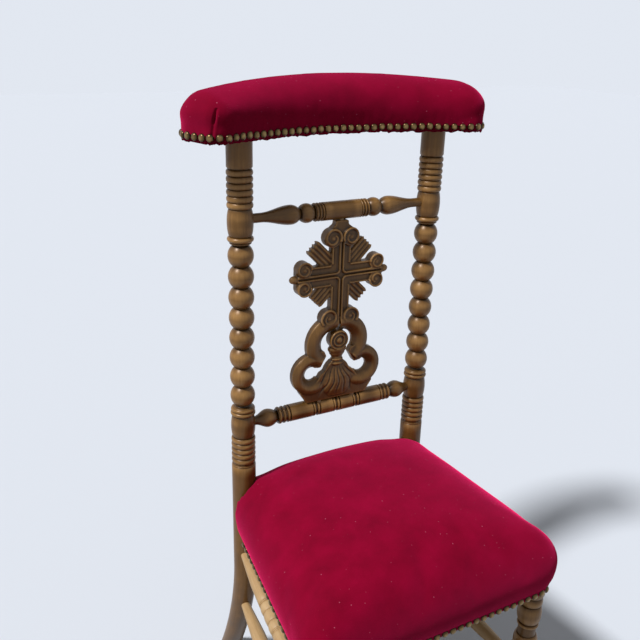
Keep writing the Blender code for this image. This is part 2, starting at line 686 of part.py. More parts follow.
def seat_loops(inset, drop):
    """Cover loops of the seat, hem to crown, drawn in and lowered for an inner surface."""
    plan = seat_outline(inset, inset)
    loops = [dipped(plan, SEAT_UNDERSIDE + rise, 0.0) for rise in (0.0, COVER_HEM)]
    for bulge, shoulder, share, dip in SEAT_SIDES:
        draw = shoulder * SEAT_SHOULDER - bulge * SEAT_BULGE
        height = SEAT_UNDERSIDE + share * SEAT_COVER_HEIGHT - drop
        loops.append(dipped(seat_outline(draw + inset, max(draw, 0.0) + inset), height, dip))
    for reach, share, dip in SEAT_CROWN:
        height = SEAT_UNDERSIDE + share * SEAT_COVER_HEIGHT - drop
        loops.append(dipped(seat_crown(plan, reach), height, dip))
    return loops


def cut_off_below(loops, height):
    """The loops of a pad above a height, starting with one level loop at that height."""
    kept = [loop for loop in loops if min(point[2] for point in loop) > height + GAP]
    below = [loop for loop in loops if max(point[2] for point in loop) < height][-1]
    level = []
    for a, b in zip(below, kept[0]):
        share = (height - a[2]) / (b[2] - a[2])
        level.append(Vector(a).lerp(Vector(b), share))
    return [level] + kept


def trim_stations(run, closed, spacing):
    """Places along a plan line for a row of nails: (place, outward, size), size 1 at a nail's middle.

    Every corner of the line is a place too, so the row follows the line exactly.
    """
    points = [Vector(point) for point in run]
    legs = list(zip(points, points[1:] + points[:1] if closed else points[1:]))
    ways = [(b - a).normalized() for a, b in legs]
    normals = [Vector((way.y, -way.x)) for way in ways]
    total = sum((b - a).length for a, b in legs)
    pitch = total / round(total / spacing)
    halves = round(2 * total / pitch)
    stations = []
    walked = 0.0
    for i, (a, b) in enumerate(legs):
        length = (b - a).length
        before = normals[i - 1] if closed or i > 0 else normals[i]
        mitre = before + normals[i]
        stations.append((walked, a, 2 * mitre / mitre.length_squared))
        for k in range(halves):
            place = k * pitch / 2
            if walked + NAIL_PLACE_MARGIN < place < walked + length - NAIL_PLACE_MARGIN:
                stations.append((place, a.lerp(b, (place - walked) / length), normals[i]))
        walked += length
    if not closed:
        stations.append((total, points[-1], normals[-1]))
    sizes = [abs((walk / pitch) % 1.0 - 0.5) for walk, _, _ in stations]
    return [(place, outward, 1 - 2 * size) for (_, place, outward), size in zip(stations, sizes)]


def nail_trim(name, run, closed, spacing, height, material):
    """A row of domed nail heads on the hem of a cover, joined edge to edge."""
    bm = bmesh.new()
    sections = []
    for place, outward, size in trim_stations(run, closed, spacing):
        radius = NAIL_LINK_RADIUS + (NAIL_RADIUS - NAIL_LINK_RADIUS) * size
        dome = NAIL_LINK_HEIGHT + (NAIL_HEIGHT - NAIL_LINK_HEIGHT) * size
        back = place + GAP * outward
        front = place + (GAP + dome) * outward
        corners = ((*back, height - radius), (*back, height + radius), (*front, height))
        sections.append([bm.verts.new(corner) for corner in corners])
    pairs = zip(sections, sections[1:] + sections[:1] if closed else sections[1:])
    for here, there in pairs:
        for i in range(3):
            j = (i + 1) % 3
            bm.faces.new((here[i], here[j], there[j], there[i]))
    if not closed:
        bm.faces.new(sections[0])
        bm.faces.new(list(reversed(sections[-1])))
    return finish(name, bm, material)


def seat_half_width(y, inset=0.0):
    """Half width of the seat's plan at a depth."""
    return POST_X + SEAT_OVERHANG - SEAT_FLARE * y - inset


def seat_frame(material):
    """The four rails under the seat, and the blocks in their corners."""
    inset = SEAT_RAIL_INSET
    rails = {}
    front_back = SEAT_FRONT_RAIL_DEPTH + inset - SEAT_FRONT
    corner = [(x, y) for x, y in seat_outline(inset, inset) if y < front_back - GAP and x > 0]
    right = corner + [(seat_half_width(front_back, inset), front_back)]
    left = [(-x, y) for x, y in reversed(right)]
    rails["front"] = finish("seat_rail_front", prism(right + left, SEAT_RAIL_BASE, SEAT_RAIL_TOP), material)

    rear = -POST_RADIUS - GAP
    front = front_back + GAP
    for side, word in ((-1, "left"), (1, "right")):
        thick = inset + SEAT_RAIL_THICKNESS
        plan = [
            (side * seat_half_width(front, inset), front), (side * seat_half_width(rear, inset), rear),
            (side * seat_half_width(rear, thick), rear), (side * seat_half_width(front, thick), front),
        ]
        bm = prism(plan, SEAT_RAIL_BASE, SEAT_RAIL_TOP)
        rails[word] = finish("seat_rail_" + word, bm, material)

    end = POST_X - POST_RADIUS - GAP
    back = SEAT_REAR - inset
    face = back - SEAT_RAIL_THICKNESS
    plan = [(-end, face), (end, face), (end, back), (-end, back)]
    rails["back"] = finish("seat_rail_back", prism(plan, SEAT_RAIL_BASE, SEAT_RAIL_TOP), material)

    for name, y, way in (("front", front_back + GAP, 1), ("rear", face - GAP, -1)):
        for side, word in ((-1, "left"), (1, "right")):
            corner_block("corner_block_" + name + "_" + word, side, y, way, material)
    return rails


def corner_block(name, side, y, way, material):
    """A glue block in a corner of the seat frame, on a rail's face at y, with way 1 towards the rear."""
    wall = SEAT_RAIL_INSET + SEAT_RAIL_THICKNESS + GAP
    clip_y = y + way * CORNER_BLOCK_CLIP
    end_y = y + way * CORNER_BLOCK_LEG
    plan = [
        (seat_half_width(y, wall) - CORNER_BLOCK_CLIP, y), (seat_half_width(clip_y, wall), clip_y),
        (seat_half_width(end_y, wall), end_y), (seat_half_width(y, wall) - CORNER_BLOCK_LEG, y),
    ]
    middle = (SEAT_RAIL_BASE + SEAT_RAIL_TOP) / 2
    low, high = middle - CORNER_BLOCK_HEIGHT / 2, middle + CORNER_BLOCK_HEIGHT / 2
    return finish(name, prism([(side * x, depth) for x, depth in plan], low, high), material)


def frame_dowels(rails, posts, material):
    """Pegs between the seat rails and the posts, and between the side rails and the front rail."""
    middle = (SEAT_RAIL_BASE + SEAT_RAIL_TOP) / 2
    joint_y = SEAT_FRONT_RAIL_DEPTH + SEAT_RAIL_INSET - SEAT_FRONT
    back_y = SEAT_REAR - SEAT_RAIL_INSET - SEAT_RAIL_THICKNESS / 2
    wall = SEAT_RAIL_INSET + SEAT_RAIL_THICKNESS / 2
    high = middle + FRAME_DOWEL_STAGGER
    low = middle - FRAME_DOWEL_STAGGER
    for side, word in ((-1, "left"), (1, "right")):
        rear_x = side * seat_half_width(-POST_RADIUS, wall)
        front_x = side * seat_half_width(joint_y, wall)
        end_x = side * (POST_X - POST_RADIUS)
        pegs = (
            ("side_rail", (rear_x, -POST_RADIUS, high), (0, 1, 0), (rails[word], posts[word])),
            ("front_rail", (front_x, joint_y, high), (0, 1, 0), (rails[word], rails["front"])),
            ("back_rail", (end_x, back_y, low), (1, 0, 0), (rails["back"], posts[word])),
        )
        for name, place, way, joined in pegs:
            start = Vector(place) - FRAME_DOWEL_DEPTH * Vector(way)
            end = Vector(place) + FRAME_DOWEL_DEPTH * Vector(way)
            finish(name + "_dowel_" + word, rod(start, end, FRAME_DOWEL_RADIUS, PEG_SEGMENTS), material)
            slack = SOCKET_END_GAP * Vector(way)
            for part in joined:
                cut_round(part, start - slack, end + slack, FRAME_DOWEL_RADIUS + GAP, PEG_SEGMENTS)


def webbing(material):
    """The straps across the seat frame: one layer along it and one layer across it."""
    rear = SEAT_REAR - SEAT_RAIL_INSET - WEBBING_MARGIN
    front = SEAT_RAIL_INSET + WEBBING_MARGIN - SEAT_FRONT
    upper = WEBBING_BASE + WEBBING_THICKNESS + GAP
    for i, word in ((-1, "left"), (0, "middle"), (1, "right")):
        x = i * WEBBING_SPREAD
        bm = box_between((x - WEBBING_WIDTH / 2, front, WEBBING_BASE),
                         (x + WEBBING_WIDTH / 2, rear, WEBBING_BASE + WEBBING_THICKNESS))
        finish("webbing_long_" + word, bm, material)
    for i, word in ((-1, "front"), (0, "middle"), (1, "rear")):
        y = SEAT_CENTRE + i * WEBBING_SPREAD
        half = seat_half_width(y + WEBBING_WIDTH / 2, SEAT_RAIL_INSET + WEBBING_MARGIN)
        bm = box_between((-half, y - WEBBING_WIDTH / 2, upper),
                         (half, y + WEBBING_WIDTH / 2, upper + WEBBING_THICKNESS))
        finish("webbing_cross_" + word, bm, material)


def box_between(low, high):
    """A box from its lowest to its highest corner, as a bmesh."""
    bm = bmesh.new()
    low, high = Vector(low), Vector(high)
    size = Matrix.Diagonal((*(high - low), 1.0))
    bmesh.ops.create_cube(bm, size=1.0, matrix=Matrix.Translation((low + high) / 2) @ size)
    return bm


def front_leg(name, side, material):
    """A turned front leg with a round tenon into the front seat rail."""
    top = SEAT_UNDERSIDE - GAP
    neck = FRONT_LEG_NECK_RADIUS
    shoulder = FRONT_LEG_SHOULDER_RADIUS
    pairs = [
        (0.0, FRONT_LEG_ANKLE_RADIUS), (0.2 * FRONT_FOOT_HEIGHT, neck),
        (0.65 * FRONT_FOOT_HEIGHT, neck), (FRONT_FOOT_HEIGHT, FRONT_LEG_ANKLE_RADIUS),
    ]
    lower = LOWER_STRETCHER_HEIGHT - SIDE_STRETCHER_FALL
    upper = UPPER_STRETCHER_HEIGHT - SIDE_STRETCHER_FALL
    for height in (lower, FRONT_STRETCHER_HEIGHT, upper):
        pairs += [
            (height - FRONT_BLOCK_HALF - FRONT_BLOCK_EASE, neck), (height - FRONT_BLOCK_HALF, shoulder),
            (height, FRONT_LEG_RADIUS), (height + FRONT_BLOCK_HALF, shoulder),
        ]
    collar = top - upper - FRONT_BLOCK_HALF
    pairs += [
        (top - 0.80 * collar, neck), (top - 0.55 * collar, shoulder), (top - 0.35 * collar, neck),
        (top - 0.15 * collar, FRONT_LEG_RADIUS), (top, shoulder), (top, FRONT_LEG_TENON_RADIUS),
        (top + FRONT_LEG_TENON_LENGTH, FRONT_LEG_TENON_RADIUS),
    ]
    part = finish(name, turned(pairs, FRONT_LEG_SEGMENTS), material)
    part.location = (side * FRONT_LEG_X, FRONT_LEG_Y, 0)
    return part


def stretcher_half(half_length):
    """Outer half of a turned stretcher, as (place, radius) pairs from its middle."""
    ring = STRETCHER_BEAD_HALF + STRETCHER_RING_LENGTH
    pairs = [
        (0.0, STRETCHER_BEAD_RADIUS),
        (STRETCHER_BEAD_HALF, STRETCHER_GROOVE_RADIUS),
        (ring - STRETCHER_RING_LENGTH / 2, STRETCHER_BEAD_RADIUS),
        (ring, STRETCHER_GROOVE_RADIUS),
        (STRETCHER_SWELL_START, STRETCHER_RADIUS),
        (STRETCHER_SWELL_END, STRETCHER_RADIUS),
    ]
    shoulder = half_length - STRETCHER_TENON_LENGTH
    return pairs + [(shoulder, STRETCHER_END_RADIUS), (half_length, STRETCHER_END_RADIUS)]


def stretcher(name, ends, legs, material):
    """A turned stretcher between the axes of two legs, with a socket in each leg."""
    start, end = Vector(ends[0]), Vector(ends[1])
    way = (end - start).normalized()
    hold = POST_RADIUS - STRETCHER_TENON_LENGTH
    start += hold * way
    end -= hold * way
    half = stretcher_half((end - start).length / 2)
    part = finish(name, turned(mirrored_profile(half), STRETCHER_SEGMENTS), material)
    part.location = (start + end) / 2
    part.rotation_mode = "QUATERNION"
    part.rotation_quaternion = way.to_track_quat("Z", "X")
    slack = SOCKET_END_GAP * way
    reach = 2 * POST_RADIUS * way
    cut_round(legs[0], start - slack, start + reach, STRETCHER_END_RADIUS + GAP)
    cut_round(legs[1], end - reach, end + slack, STRETCHER_END_RADIUS + GAP)
    return part


def back_assembly(posts, wood):
    """The cross rails and the splat, with their sockets and pegs."""
    rails = [
        cross_rail("upper_cross_rail", upper_rail_half(), UPPER_RAIL_HEIGHT, wood),
        cross_rail("lower_cross_rail", lower_rail_half(), LOWER_RAIL_HEIGHT, wood),
    ]
    for height in (UPPER_RAIL_HEIGHT, LOWER_RAIL_HEIGHT):
        for side, word in ((-1, "left"), (1, "right")):
            inner = (side * (RAIL_END + SOCKET_END_GAP), 0, height)
            outer = (side * (POST_X - 2 * POST_RADIUS), 0, height)
            cut_round(posts[word], inner, outer, RAIL_TENON_RADIUS + GAP)
    splat = cross_splat(wood)
    pegs = (
        ("splat_top_dowel", 0.0, SPLAT_TOP, rails[0]),
        ("splat_bottom_dowel_left", -SPLAT_DOWEL_OFFSET, SPLAT_BOTTOM, rails[1]),
        ("splat_bottom_dowel_right", SPLAT_DOWEL_OFFSET, SPLAT_BOTTOM, rails[1]),
    )
    for name, x, height, rail in pegs:
        low = Vector((x, -SPLAT_FORWARD, height - SPLAT_DOWEL_DEPTH))
        high = Vector((x, -SPLAT_FORWARD, height + SPLAT_DOWEL_DEPTH))
        finish(name, rod(low, high, SPLAT_DOWEL_RADIUS, PEG_SEGMENTS), wood)
        slack = Vector((0, 0, SOCKET_END_GAP))
        for part in (splat, rail):
            cut_round(part, low - slack, high + slack, SPLAT_DOWEL_RADIUS + GAP, PEG_SEGMENTS)


def top_rest(wood, stuffing, velvet, brass):
    """The board on the posts, its pad, the velvet over both, and the nails."""
    inset = COVER_THICKNESS + GAP
    base = REST_UNDERSIDE
    board = finish("top_rest_board", prism(rest_outline(inset), base, base + REST_BOARD_THICKNESS), wood)
    for side in (-1, 1):
        low = (side * POST_X, 0, base - POST_TENON_LENGTH)
        high = (side * POST_X, 0, base + POST_TENON_LENGTH + SOCKET_END_GAP)
        cut_round(board, low, high, POST_TENON_RADIUS + GAP)
    inner = rest_loops(COVER_THICKNESS, COVER_THICKNESS)
    cloth = cloth_cover(rest_loops(0.0, 0.0), inner, REST_LEFT_END)
    finish("top_rest_velvet", cloth, velvet, COVER_SMOOTH_ANGLE)
    loops = cut_off_below(rest_loops(inset, inset), base + REST_BOARD_THICKNESS + GAP)
    finish("top_rest_stuffing", pad(loops, REST_LEFT_END), stuffing, COVER_SMOOTH_ANGLE)
    nail_trim("top_rest_nails", rest_outline(0.0), True, REST_NAIL_SPACING, base + COVER_HEM / 2, brass)


def seat(posts, wood, stuffing, velvet, brass, jute):
    """The seat frame, webbing, pad, velvet and nails."""
    rails = seat_frame(wood)
    frame_dowels(rails, posts, wood)
    webbing(jute)
    inner = seat_loops(COVER_THICKNESS, COVER_THICKNESS)
    bm = cloth_cover(seat_loops(0.0, 0.0), inner, 0)
    cloth = finish("seat_velvet", bm, velvet, COVER_SMOOTH_ANGLE)
    inset = COVER_THICKNESS + GAP
    loops = cut_off_below(seat_loops(inset, inset), STUFFING_BASE)
    padding = finish("seat_stuffing", pad(loops, 0), stuffing, COVER_SMOOTH_ANGLE)
    low = SEAT_UNDERSIDE - COVER_HEM
    high = SEAT_UNDERSIDE + 2 * SEAT_COVER_HEIGHT
    beyond = 3 * POST_RADIUS
    corner = [(0, -SEAT_SIDE_STOP), (beyond, -SEAT_SIDE_STOP), (beyond, beyond), (0, beyond)]
    for part in (cloth, padding):
        for side in (-1, 1):
            axis = [(side * POST_X, 0, height) for height in (low, high)]
            cut_round(part, *axis, SEAT_NOTCH_RADIUS, 2 * POST_SEGMENTS)
            plan = [(side * (POST_X + x), y) for x, y in corner]
            combine(part, prism(plan, low, high), "DIFFERENCE")
    hem = SEAT_UNDERSIDE + COVER_HEM / 2
    nail_trim("seat_nails", seat_nail_run(), False, SEAT_NAIL_SPACING, hem, brass)
    end = POST_X - SEAT_NOTCH_RADIUS
    run = [(end, SEAT_REAR), (-end, SEAT_REAR)]
    nail_trim("seat_rear_nails", run, False, SEAT_NAIL_SPACING, hem, brass)
    return rails


def legs_and_stretchers(posts, front_rail, wood, pale_wood):
    """The front legs and all the stretchers."""
    fronts = {}
    for side, word in ((-1, "left"), (1, "right")):
        fronts[word] = front_leg("front_leg_" + word, side, wood)
        low = (side * FRONT_LEG_X, FRONT_LEG_Y, SEAT_RAIL_BASE - FRONT_LEG_TENON_LENGTH)
        high = (side * FRONT_LEG_X, FRONT_LEG_Y,
                SEAT_UNDERSIDE + FRONT_LEG_TENON_LENGTH + SOCKET_END_GAP)
        cut_round(front_rail, low, high, FRONT_LEG_TENON_RADIUS + GAP)
    levels = (
        ("upper", UPPER_STRETCHER_HEIGHT, UPPER_STRETCHER_OUTSET),
        ("lower", LOWER_STRETCHER_HEIGHT, LOWER_STRETCHER_OUTSET),
    )
    for level, height, outset in levels:
        for side, word in ((-1, "left"), (1, "right")):
            ends = (
                (side * (POST_X + outset), leg_sweep(height), height),
                (side * (FRONT_LEG_X + outset), FRONT_LEG_Y, height - SIDE_STRETCHER_FALL),
            )
            stretcher("side_stretcher_" + level + "_" + word, ends, (posts[word], fronts[word]), pale_wood)
    height = FRONT_STRETCHER_HEIGHT
    ends = ((-FRONT_LEG_X, FRONT_LEG_Y, height), (FRONT_LEG_X, FRONT_LEG_Y, height))
    stretcher("front_stretcher", ends, (fronts["left"], fronts["right"]), pale_wood)
    height = BACK_STRETCHER_HEIGHT
    ends = ((-POST_X, leg_sweep(height), height), (POST_X, leg_sweep(height), height))
    stretcher("back_stretcher", ends, (posts["left"], posts["right"]), pale_wood)


def centre_on_floor():
    """Hang everything on one empty, and move that so the chair's box stands centred on the origin."""
    bpy.context.view_layer.update()
    corners = [part.matrix_world @ vert.co for part in PARTS for vert in part.data.vertices]
    low = [min(corner[axis] for corner in corners) for axis in range(3)]
    high = [max(corner[axis] for corner in corners) for axis in range(3)]
    chair = bpy.data.objects.new("chair", None)
    bpy.context.collection.objects.link(chair)
    for thing in list(bpy.data.objects):
        if thing is not chair:
            thing.parent = chair
    chair.location = (-(low[0] + high[0]) / 2, -(low[1] + high[1]) / 2, -low[2])


def main():
    """Build the chair."""
    for thing in list(bpy.data.objects):
        bpy.data.objects.remove(thing, do_unlink=True)
    wood = make_material("bronzed wood", (0.23, 0.14, 0.065), 0.45)
    pale_wood = make_material("worn wood", (0.46, 0.32, 0.17), 0.55)
    velvet = make_material("crimson velvet", (0.33, 0.0, 0.045), 0.9)
    stuffing = make_material("horsehair", (0.30, 0.24, 0.17), 0.95)
    jute = make_material("jute", (0.45, 0.35, 0.22), 0.95)
    brass = make_material("antique brass", (0.42, 0.29, 0.12), 0.4, 1.0)
    posts = {"left": post("post_left", -1, wood), "right": post("post_right", 1, wood)}
    back_assembly(posts, wood)
    top_rest(wood, stuffing, velvet, brass)
    rails = seat(posts, wood, stuffing, velvet, brass, jute)
    legs_and_stretchers(posts, rails["front"], wood, pale_wood)
    centre_on_floor()


main()
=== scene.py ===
"""Looks of a prayer side chair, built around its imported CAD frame.

The posts, rails, legs and stretchers are spun smooth, the cross splat is carved from joined mouldings, and
the two velvet pads are blown up by a short cloth simulation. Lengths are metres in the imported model's frame:
+Z up, the chair faces -Y, and the posts stand at its rear.
"""

from __future__ import annotations

import json
import logging
import math
import random
from collections.abc import Callable, Iterable, Sequence
from dataclasses import dataclass, field
from enum import Enum

import bmesh
import bpy
from mathutils import Matrix, Vector, noise

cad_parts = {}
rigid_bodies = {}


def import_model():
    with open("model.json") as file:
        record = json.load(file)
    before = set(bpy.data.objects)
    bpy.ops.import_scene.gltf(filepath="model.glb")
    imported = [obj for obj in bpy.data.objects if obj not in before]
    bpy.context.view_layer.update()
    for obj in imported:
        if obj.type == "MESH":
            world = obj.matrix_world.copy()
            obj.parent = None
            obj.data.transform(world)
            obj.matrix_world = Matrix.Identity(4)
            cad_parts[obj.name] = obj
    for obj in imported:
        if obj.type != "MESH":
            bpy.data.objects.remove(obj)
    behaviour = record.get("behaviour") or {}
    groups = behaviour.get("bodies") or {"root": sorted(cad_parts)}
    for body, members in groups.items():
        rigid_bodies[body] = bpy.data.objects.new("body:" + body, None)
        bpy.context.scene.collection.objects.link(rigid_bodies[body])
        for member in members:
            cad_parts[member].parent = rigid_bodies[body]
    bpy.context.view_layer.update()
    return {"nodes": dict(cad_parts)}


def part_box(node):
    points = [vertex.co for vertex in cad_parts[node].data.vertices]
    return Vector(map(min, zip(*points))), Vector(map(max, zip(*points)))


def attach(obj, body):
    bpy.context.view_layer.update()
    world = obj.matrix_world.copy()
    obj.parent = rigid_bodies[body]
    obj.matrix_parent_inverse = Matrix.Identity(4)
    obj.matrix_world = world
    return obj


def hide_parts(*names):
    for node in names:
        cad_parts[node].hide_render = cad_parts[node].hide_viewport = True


LOG = logging.getLogger("prayer_chair")
BODY = "root"
MERGE = 1e-6
SMOOTH_ALL = 180.0
SEEN_RAYS = ("Is Camera Ray", "Is Glossy Ray", "Is Transmission Ray")

Colour = tuple[float, float, float, float]
Point2 = tuple[float, float]
Shades = tuple[tuple[float, Colour], ...]
BMesh = bmesh.types.BMesh
Socket = bpy.types.NodeSocket
Material = bpy.types.Material
Piece = bpy.types.Object


class Side(Enum):
    """The two sides of the chair, as someone who looks at its front sees them."""

    LEFT = -1
    RIGHT = 1

    @property
    def word(self) -> str:
        """The side's word in the names of nodes."""
        return self.name.lower()


class Slot(Enum):
    """Material slots of the record."""

    BRONZED = "bronzed_wood"
    PALE = "worn_wood"
    VELVET = "crimson_velvet"
    BRASS = "antique_brass"


class Recipe:
    """Node tree of one finish, around a Principled shader."""

    def __init__(self, name: str) -> None:
        """Start an empty tree for a named material.

        Args:
            name: The material's name.
        """
        self.material = bpy.data.materials.new(name)
        self.material.use_nodes = True
        self.tree = self.material.node_tree
        self.tree.nodes.clear()
        self.shader = self.add("ShaderNodeBsdfPrincipled")
        self.add("ShaderNodeOutputMaterial", {"Surface": self.shader.outputs["BSDF"]})

    def add(
        self, kind: str, inputs: dict[str | int, object] | None = None, **settings: object
    ) -> bpy.types.Node:
        """Add a node.

        Args:
            kind: Blender's name of the node type.
            inputs: Sockets or plain values for its inputs, by name or number.
            settings: Properties of the node to set.

        Returns:
            The new node.
        """
        node = self.tree.nodes.new(kind)
        for name, value in settings.items():
            setattr(node, name, value)
        for key, value in (inputs or {}).items():
            self.feed(node.inputs[key], value)
        return node

    def feed(self, socket: Socket, value: object) -> None:
        """Link a socket to an input, or set the input to a plain value.

        Args:
            socket: The input.
            value: A socket or a plain value.
        """
        if isinstance(value, Socket):
            self.tree.links.new(value, socket)
        else:
            socket.default_value = value

    def shade(self, **values: object) -> None:
        """Feed inputs of the shader, named with underscores for spaces."""
        for name, value in values.items():
            self.feed(self.shader.inputs[name.replace("_", " ").title().replace("Ior", "IOR")], value)

    def place(self) -> Socket:
        """Object coordinates of the piece."""
        return self.add("ShaderNodeTexCoord").outputs["Object"]

    def layer(self, name: str, output: str) -> Socket:
        """A named attribute of the piece's mesh, as its Fac or Vector output."""
        return self.add("ShaderNodeAttribute", attribute_name=name).outputs[output]

    def stretched(self, coords: Socket, scale: Sequence[float]) -> Socket:
        """Coordinates scaled along each axis."""
        return self.add("ShaderNodeMapping", {"Vector": coords, "Scale": scale}).outputs["Vector"]

    def noise(self, coords: Socket, scale: float, detail: float = 4.0) -> Socket:
        """Soft noise from 0 to 1 over coordinates."""
        inputs = {"Vector": coords, "Scale": scale, "Detail": detail}
        return self.add("ShaderNodeTexNoise", inputs).outputs["Fac"]

    def math(self, operation: str, first: object, second: object) -> Socket:
        """One operation on two sockets or numbers."""
        return self.add("ShaderNodeMath", {0: first, 1: second}, operation=operation).outputs[0]

    def sum(self, *terms: tuple[Socket, float], base: float = 0.0) -> Socket:
        """Weighted sum of sockets, kept from 0 to 1.

        Args:
            terms: Pairs of a socket and its weight.
            base: A number added to the sum.

        Returns:
            The sum's socket.
        """
        total: object = base
        for i, (socket, weight) in enumerate(terms):
            last = i == len(terms) - 1
            inputs = {0: socket, 1: weight, 2: total}
            node = self.add("ShaderNodeMath", inputs, operation="MULTIPLY_ADD", use_clamp=last)
            total = node.outputs[0]
        return total

    def ramp(self, fac: Socket, stops: Shades) -> Socket:
        """A colour ramp over a factor.

        Args:
            fac: The factor's socket.
            stops: Pairs of a place and a colour, in order.

        Returns:
            The colour's socket.
        """
        node = self.add("ShaderNodeValToRGB", {"Fac": fac})
        elements = node.color_ramp.elements
        while len(elements) < len(stops):
            elements.new(1.0)
        for element, (place, colour) in zip(elements, stops):
            element.position = place
            element.color = colour
        return node.outputs["Color"]

    def blend(self, fac: object, low: object, high: object) -> Socket:
        """A mix of two colours by a factor."""
        return self.add("ShaderNodeMix", {"Factor": fac, 6: low, 7: high}, data_type="RGBA").outputs[2]

    def span(self, fac: Socket, low: float, high: float) -> Socket:
        """A factor from 0 to 1 mapped onto a range."""
        inputs = {"Value": fac, "To Min": low, "To Max": high}
        return self.add("ShaderNodeMapRange", inputs).outputs["Result"]

    def bump(self, height: Socket, strength: float, distance: float) -> None:
        """Raise the surface by a height's socket."""
        node = self.add("ShaderNodeBump", {"Height": height, "Strength": strength, "Distance": distance})
        self.shade(normal=node.outputs["Normal"])


@dataclass(frozen=True)
class WornAndShadedWood:
    """A finish of turned or carved wood: painted shade in its hollows, rubbed away on what stands proud.

    A scale pairs a noise's scale with its detail, and a share is a weight in the mix of painted shade and
    wear.
    """

    name: str
    grain_pull: float
    streak_scale: Point2
    patch_scale: Point2
    relief_share: float
    streak_share: float
    patch_share: float
    wear_and_painted_light_base: float
    roughness: Point2
    metallic: float
    specular: float
    bump: Point2

    def shades(self) -> Shades:
        """The colours from a hollow to a crown, each with its place."""
        raise NotImplementedError

    def build(self) -> Material:
        """Make the material, which reads the layers "grain" and "relief" of a turned or carved mesh.

        Returns:
            The material.
        """
        recipe = Recipe(self.name)
        grain = recipe.layer("grain", "Vector")
        relief = recipe.layer("relief", "Fac")
        streak = recipe.noise(recipe.stretched(grain, (1, 1, self.grain_pull)), *self.streak_scale)
        patch = recipe.noise(grain, *self.patch_scale)
        # The ramp's dark end, in the hollows, is painted shade; its light end, on the crowns, is rubbed wear.
        wear_and_painted_light = recipe.sum(
            (relief, self.relief_share), (streak, self.streak_share), (patch, self.patch_share),
            base=self.wear_and_painted_light_base,
        )
        recipe.shade(
            base_color=recipe.ramp(wear_and_painted_light, self.shades()), roughness=recipe.span(patch, *self.roughness),
            metallic=self.metallic, specular_ior_level=self.specular,
        )
        recipe.bump(streak, *self.bump)
        return recipe.material


@dataclass(frozen=True)
class BronzedWood(WornAndShadedWood):
    """Bronze and brown paint, darkened in its recesses with patina and painted shade, and rubbed to gold on
    what stands proud.
    """

    name: str = "bronzed_wood"
    grain_pull: float = 0.06
    streak_scale: Point2 = (330.0, 5.0)
    patch_scale: Point2 = (26.0, 5.0)
    relief_share: float = 0.72
    streak_share: float = 0.22
    patch_share: float = 0.46
    wear_and_painted_light_base: float = -0.18
    roughness: Point2 = (0.28, 0.46)
    metallic: float = 0.12
    specular: float = 0.36
    bump: Point2 = (0.16, 0.0005)
    # Near-black in the hollows: patina and painted shade.
    patina_and_shade: Colour = (0.006, 0.004, 0.002, 1)
    brown: Colour = (0.060, 0.027, 0.005, 1)
    bronze: Colour = (0.180, 0.086, 0.020, 1)
    gold: Colour = (0.450, 0.243, 0.080, 1)

    def shades(self) -> Shades:
        """The colours from a hollow, dark with patina and painted shade, to what is rubbed to gold."""
        return (0.08, self.patina_and_shade), (0.32, self.brown), (0.62, self.bronze), (0.98, self.gold)


@dataclass(frozen=True)
class PaleWood(WornAndShadedWood):
    """Pale varnish, worn thin over turned wood, with painted shade in its grooves."""

    name: str = "pale_wood"
    grain_pull: float = 0.05
    streak_scale: Point2 = (420.0, 6.0)
    patch_scale: Point2 = (34.0, 3.0)
    relief_share: float = 0.55
    streak_share: float = 0.55
    patch_share: float = 0.30
    wear_and_painted_light_base: float = -0.22
    roughness: Point2 = (0.42, 0.60)
    metallic: float = 0.0
    specular: float = 0.5
    bump: Point2 = (0.25, 0.0005)
    # Darkest in the grooves, as painted shade.
    dark: Colour = (0.190, 0.105, 0.040, 1)
    tan: Colour = (0.430, 0.270, 0.120, 1)
    pale: Colour = (0.600, 0.420, 0.220, 1)

    def shades(self) -> Shades:
        """The colours from a groove, darkened as painted shade, to bare wood."""
        return (0.05, self.dark), (0.45, self.tan), (0.90, self.pale)


@dataclass(frozen=True)
class SawnWood:
    """Bare sawn wood of the hidden frame."""

    dark: Colour = (0.240, 0.150, 0.075, 1)
    light: Colour = (0.480, 0.340, 0.200, 1)
    grain_scale: tuple[float, float, float] = (14.0, 60.0, 160.0)
    mark_scale: tuple[float, float, float] = (260.0, 260.0, 18.0)
    grain_share: float = 0.85
    mark_share: float = 0.25
    shade_base: float = -0.08
    roughness: float = 0.78
    bump: Point2 = (0.3, 0.0006)

    def build(self) -> Material:
        """Make the material, with saw marks across a long grain.

        Returns:
            The material.
        """
        recipe = Recipe("sawn_wood")
        place = recipe.place()
        grain = recipe.noise(recipe.stretched(place, self.grain_scale), 1.0, 6.0)
        marks = recipe.noise(recipe.stretched(place, self.mark_scale), 1.0, 2.0)
        shade = recipe.sum((grain, self.grain_share), (marks, self.mark_share), base=self.shade_base)
        colour = recipe.ramp(shade, ((0.2, self.dark), (0.8, self.light)))
        recipe.shade(base_color=colour, roughness=self.roughness)
        recipe.bump(shade, *self.bump)
        return recipe.material


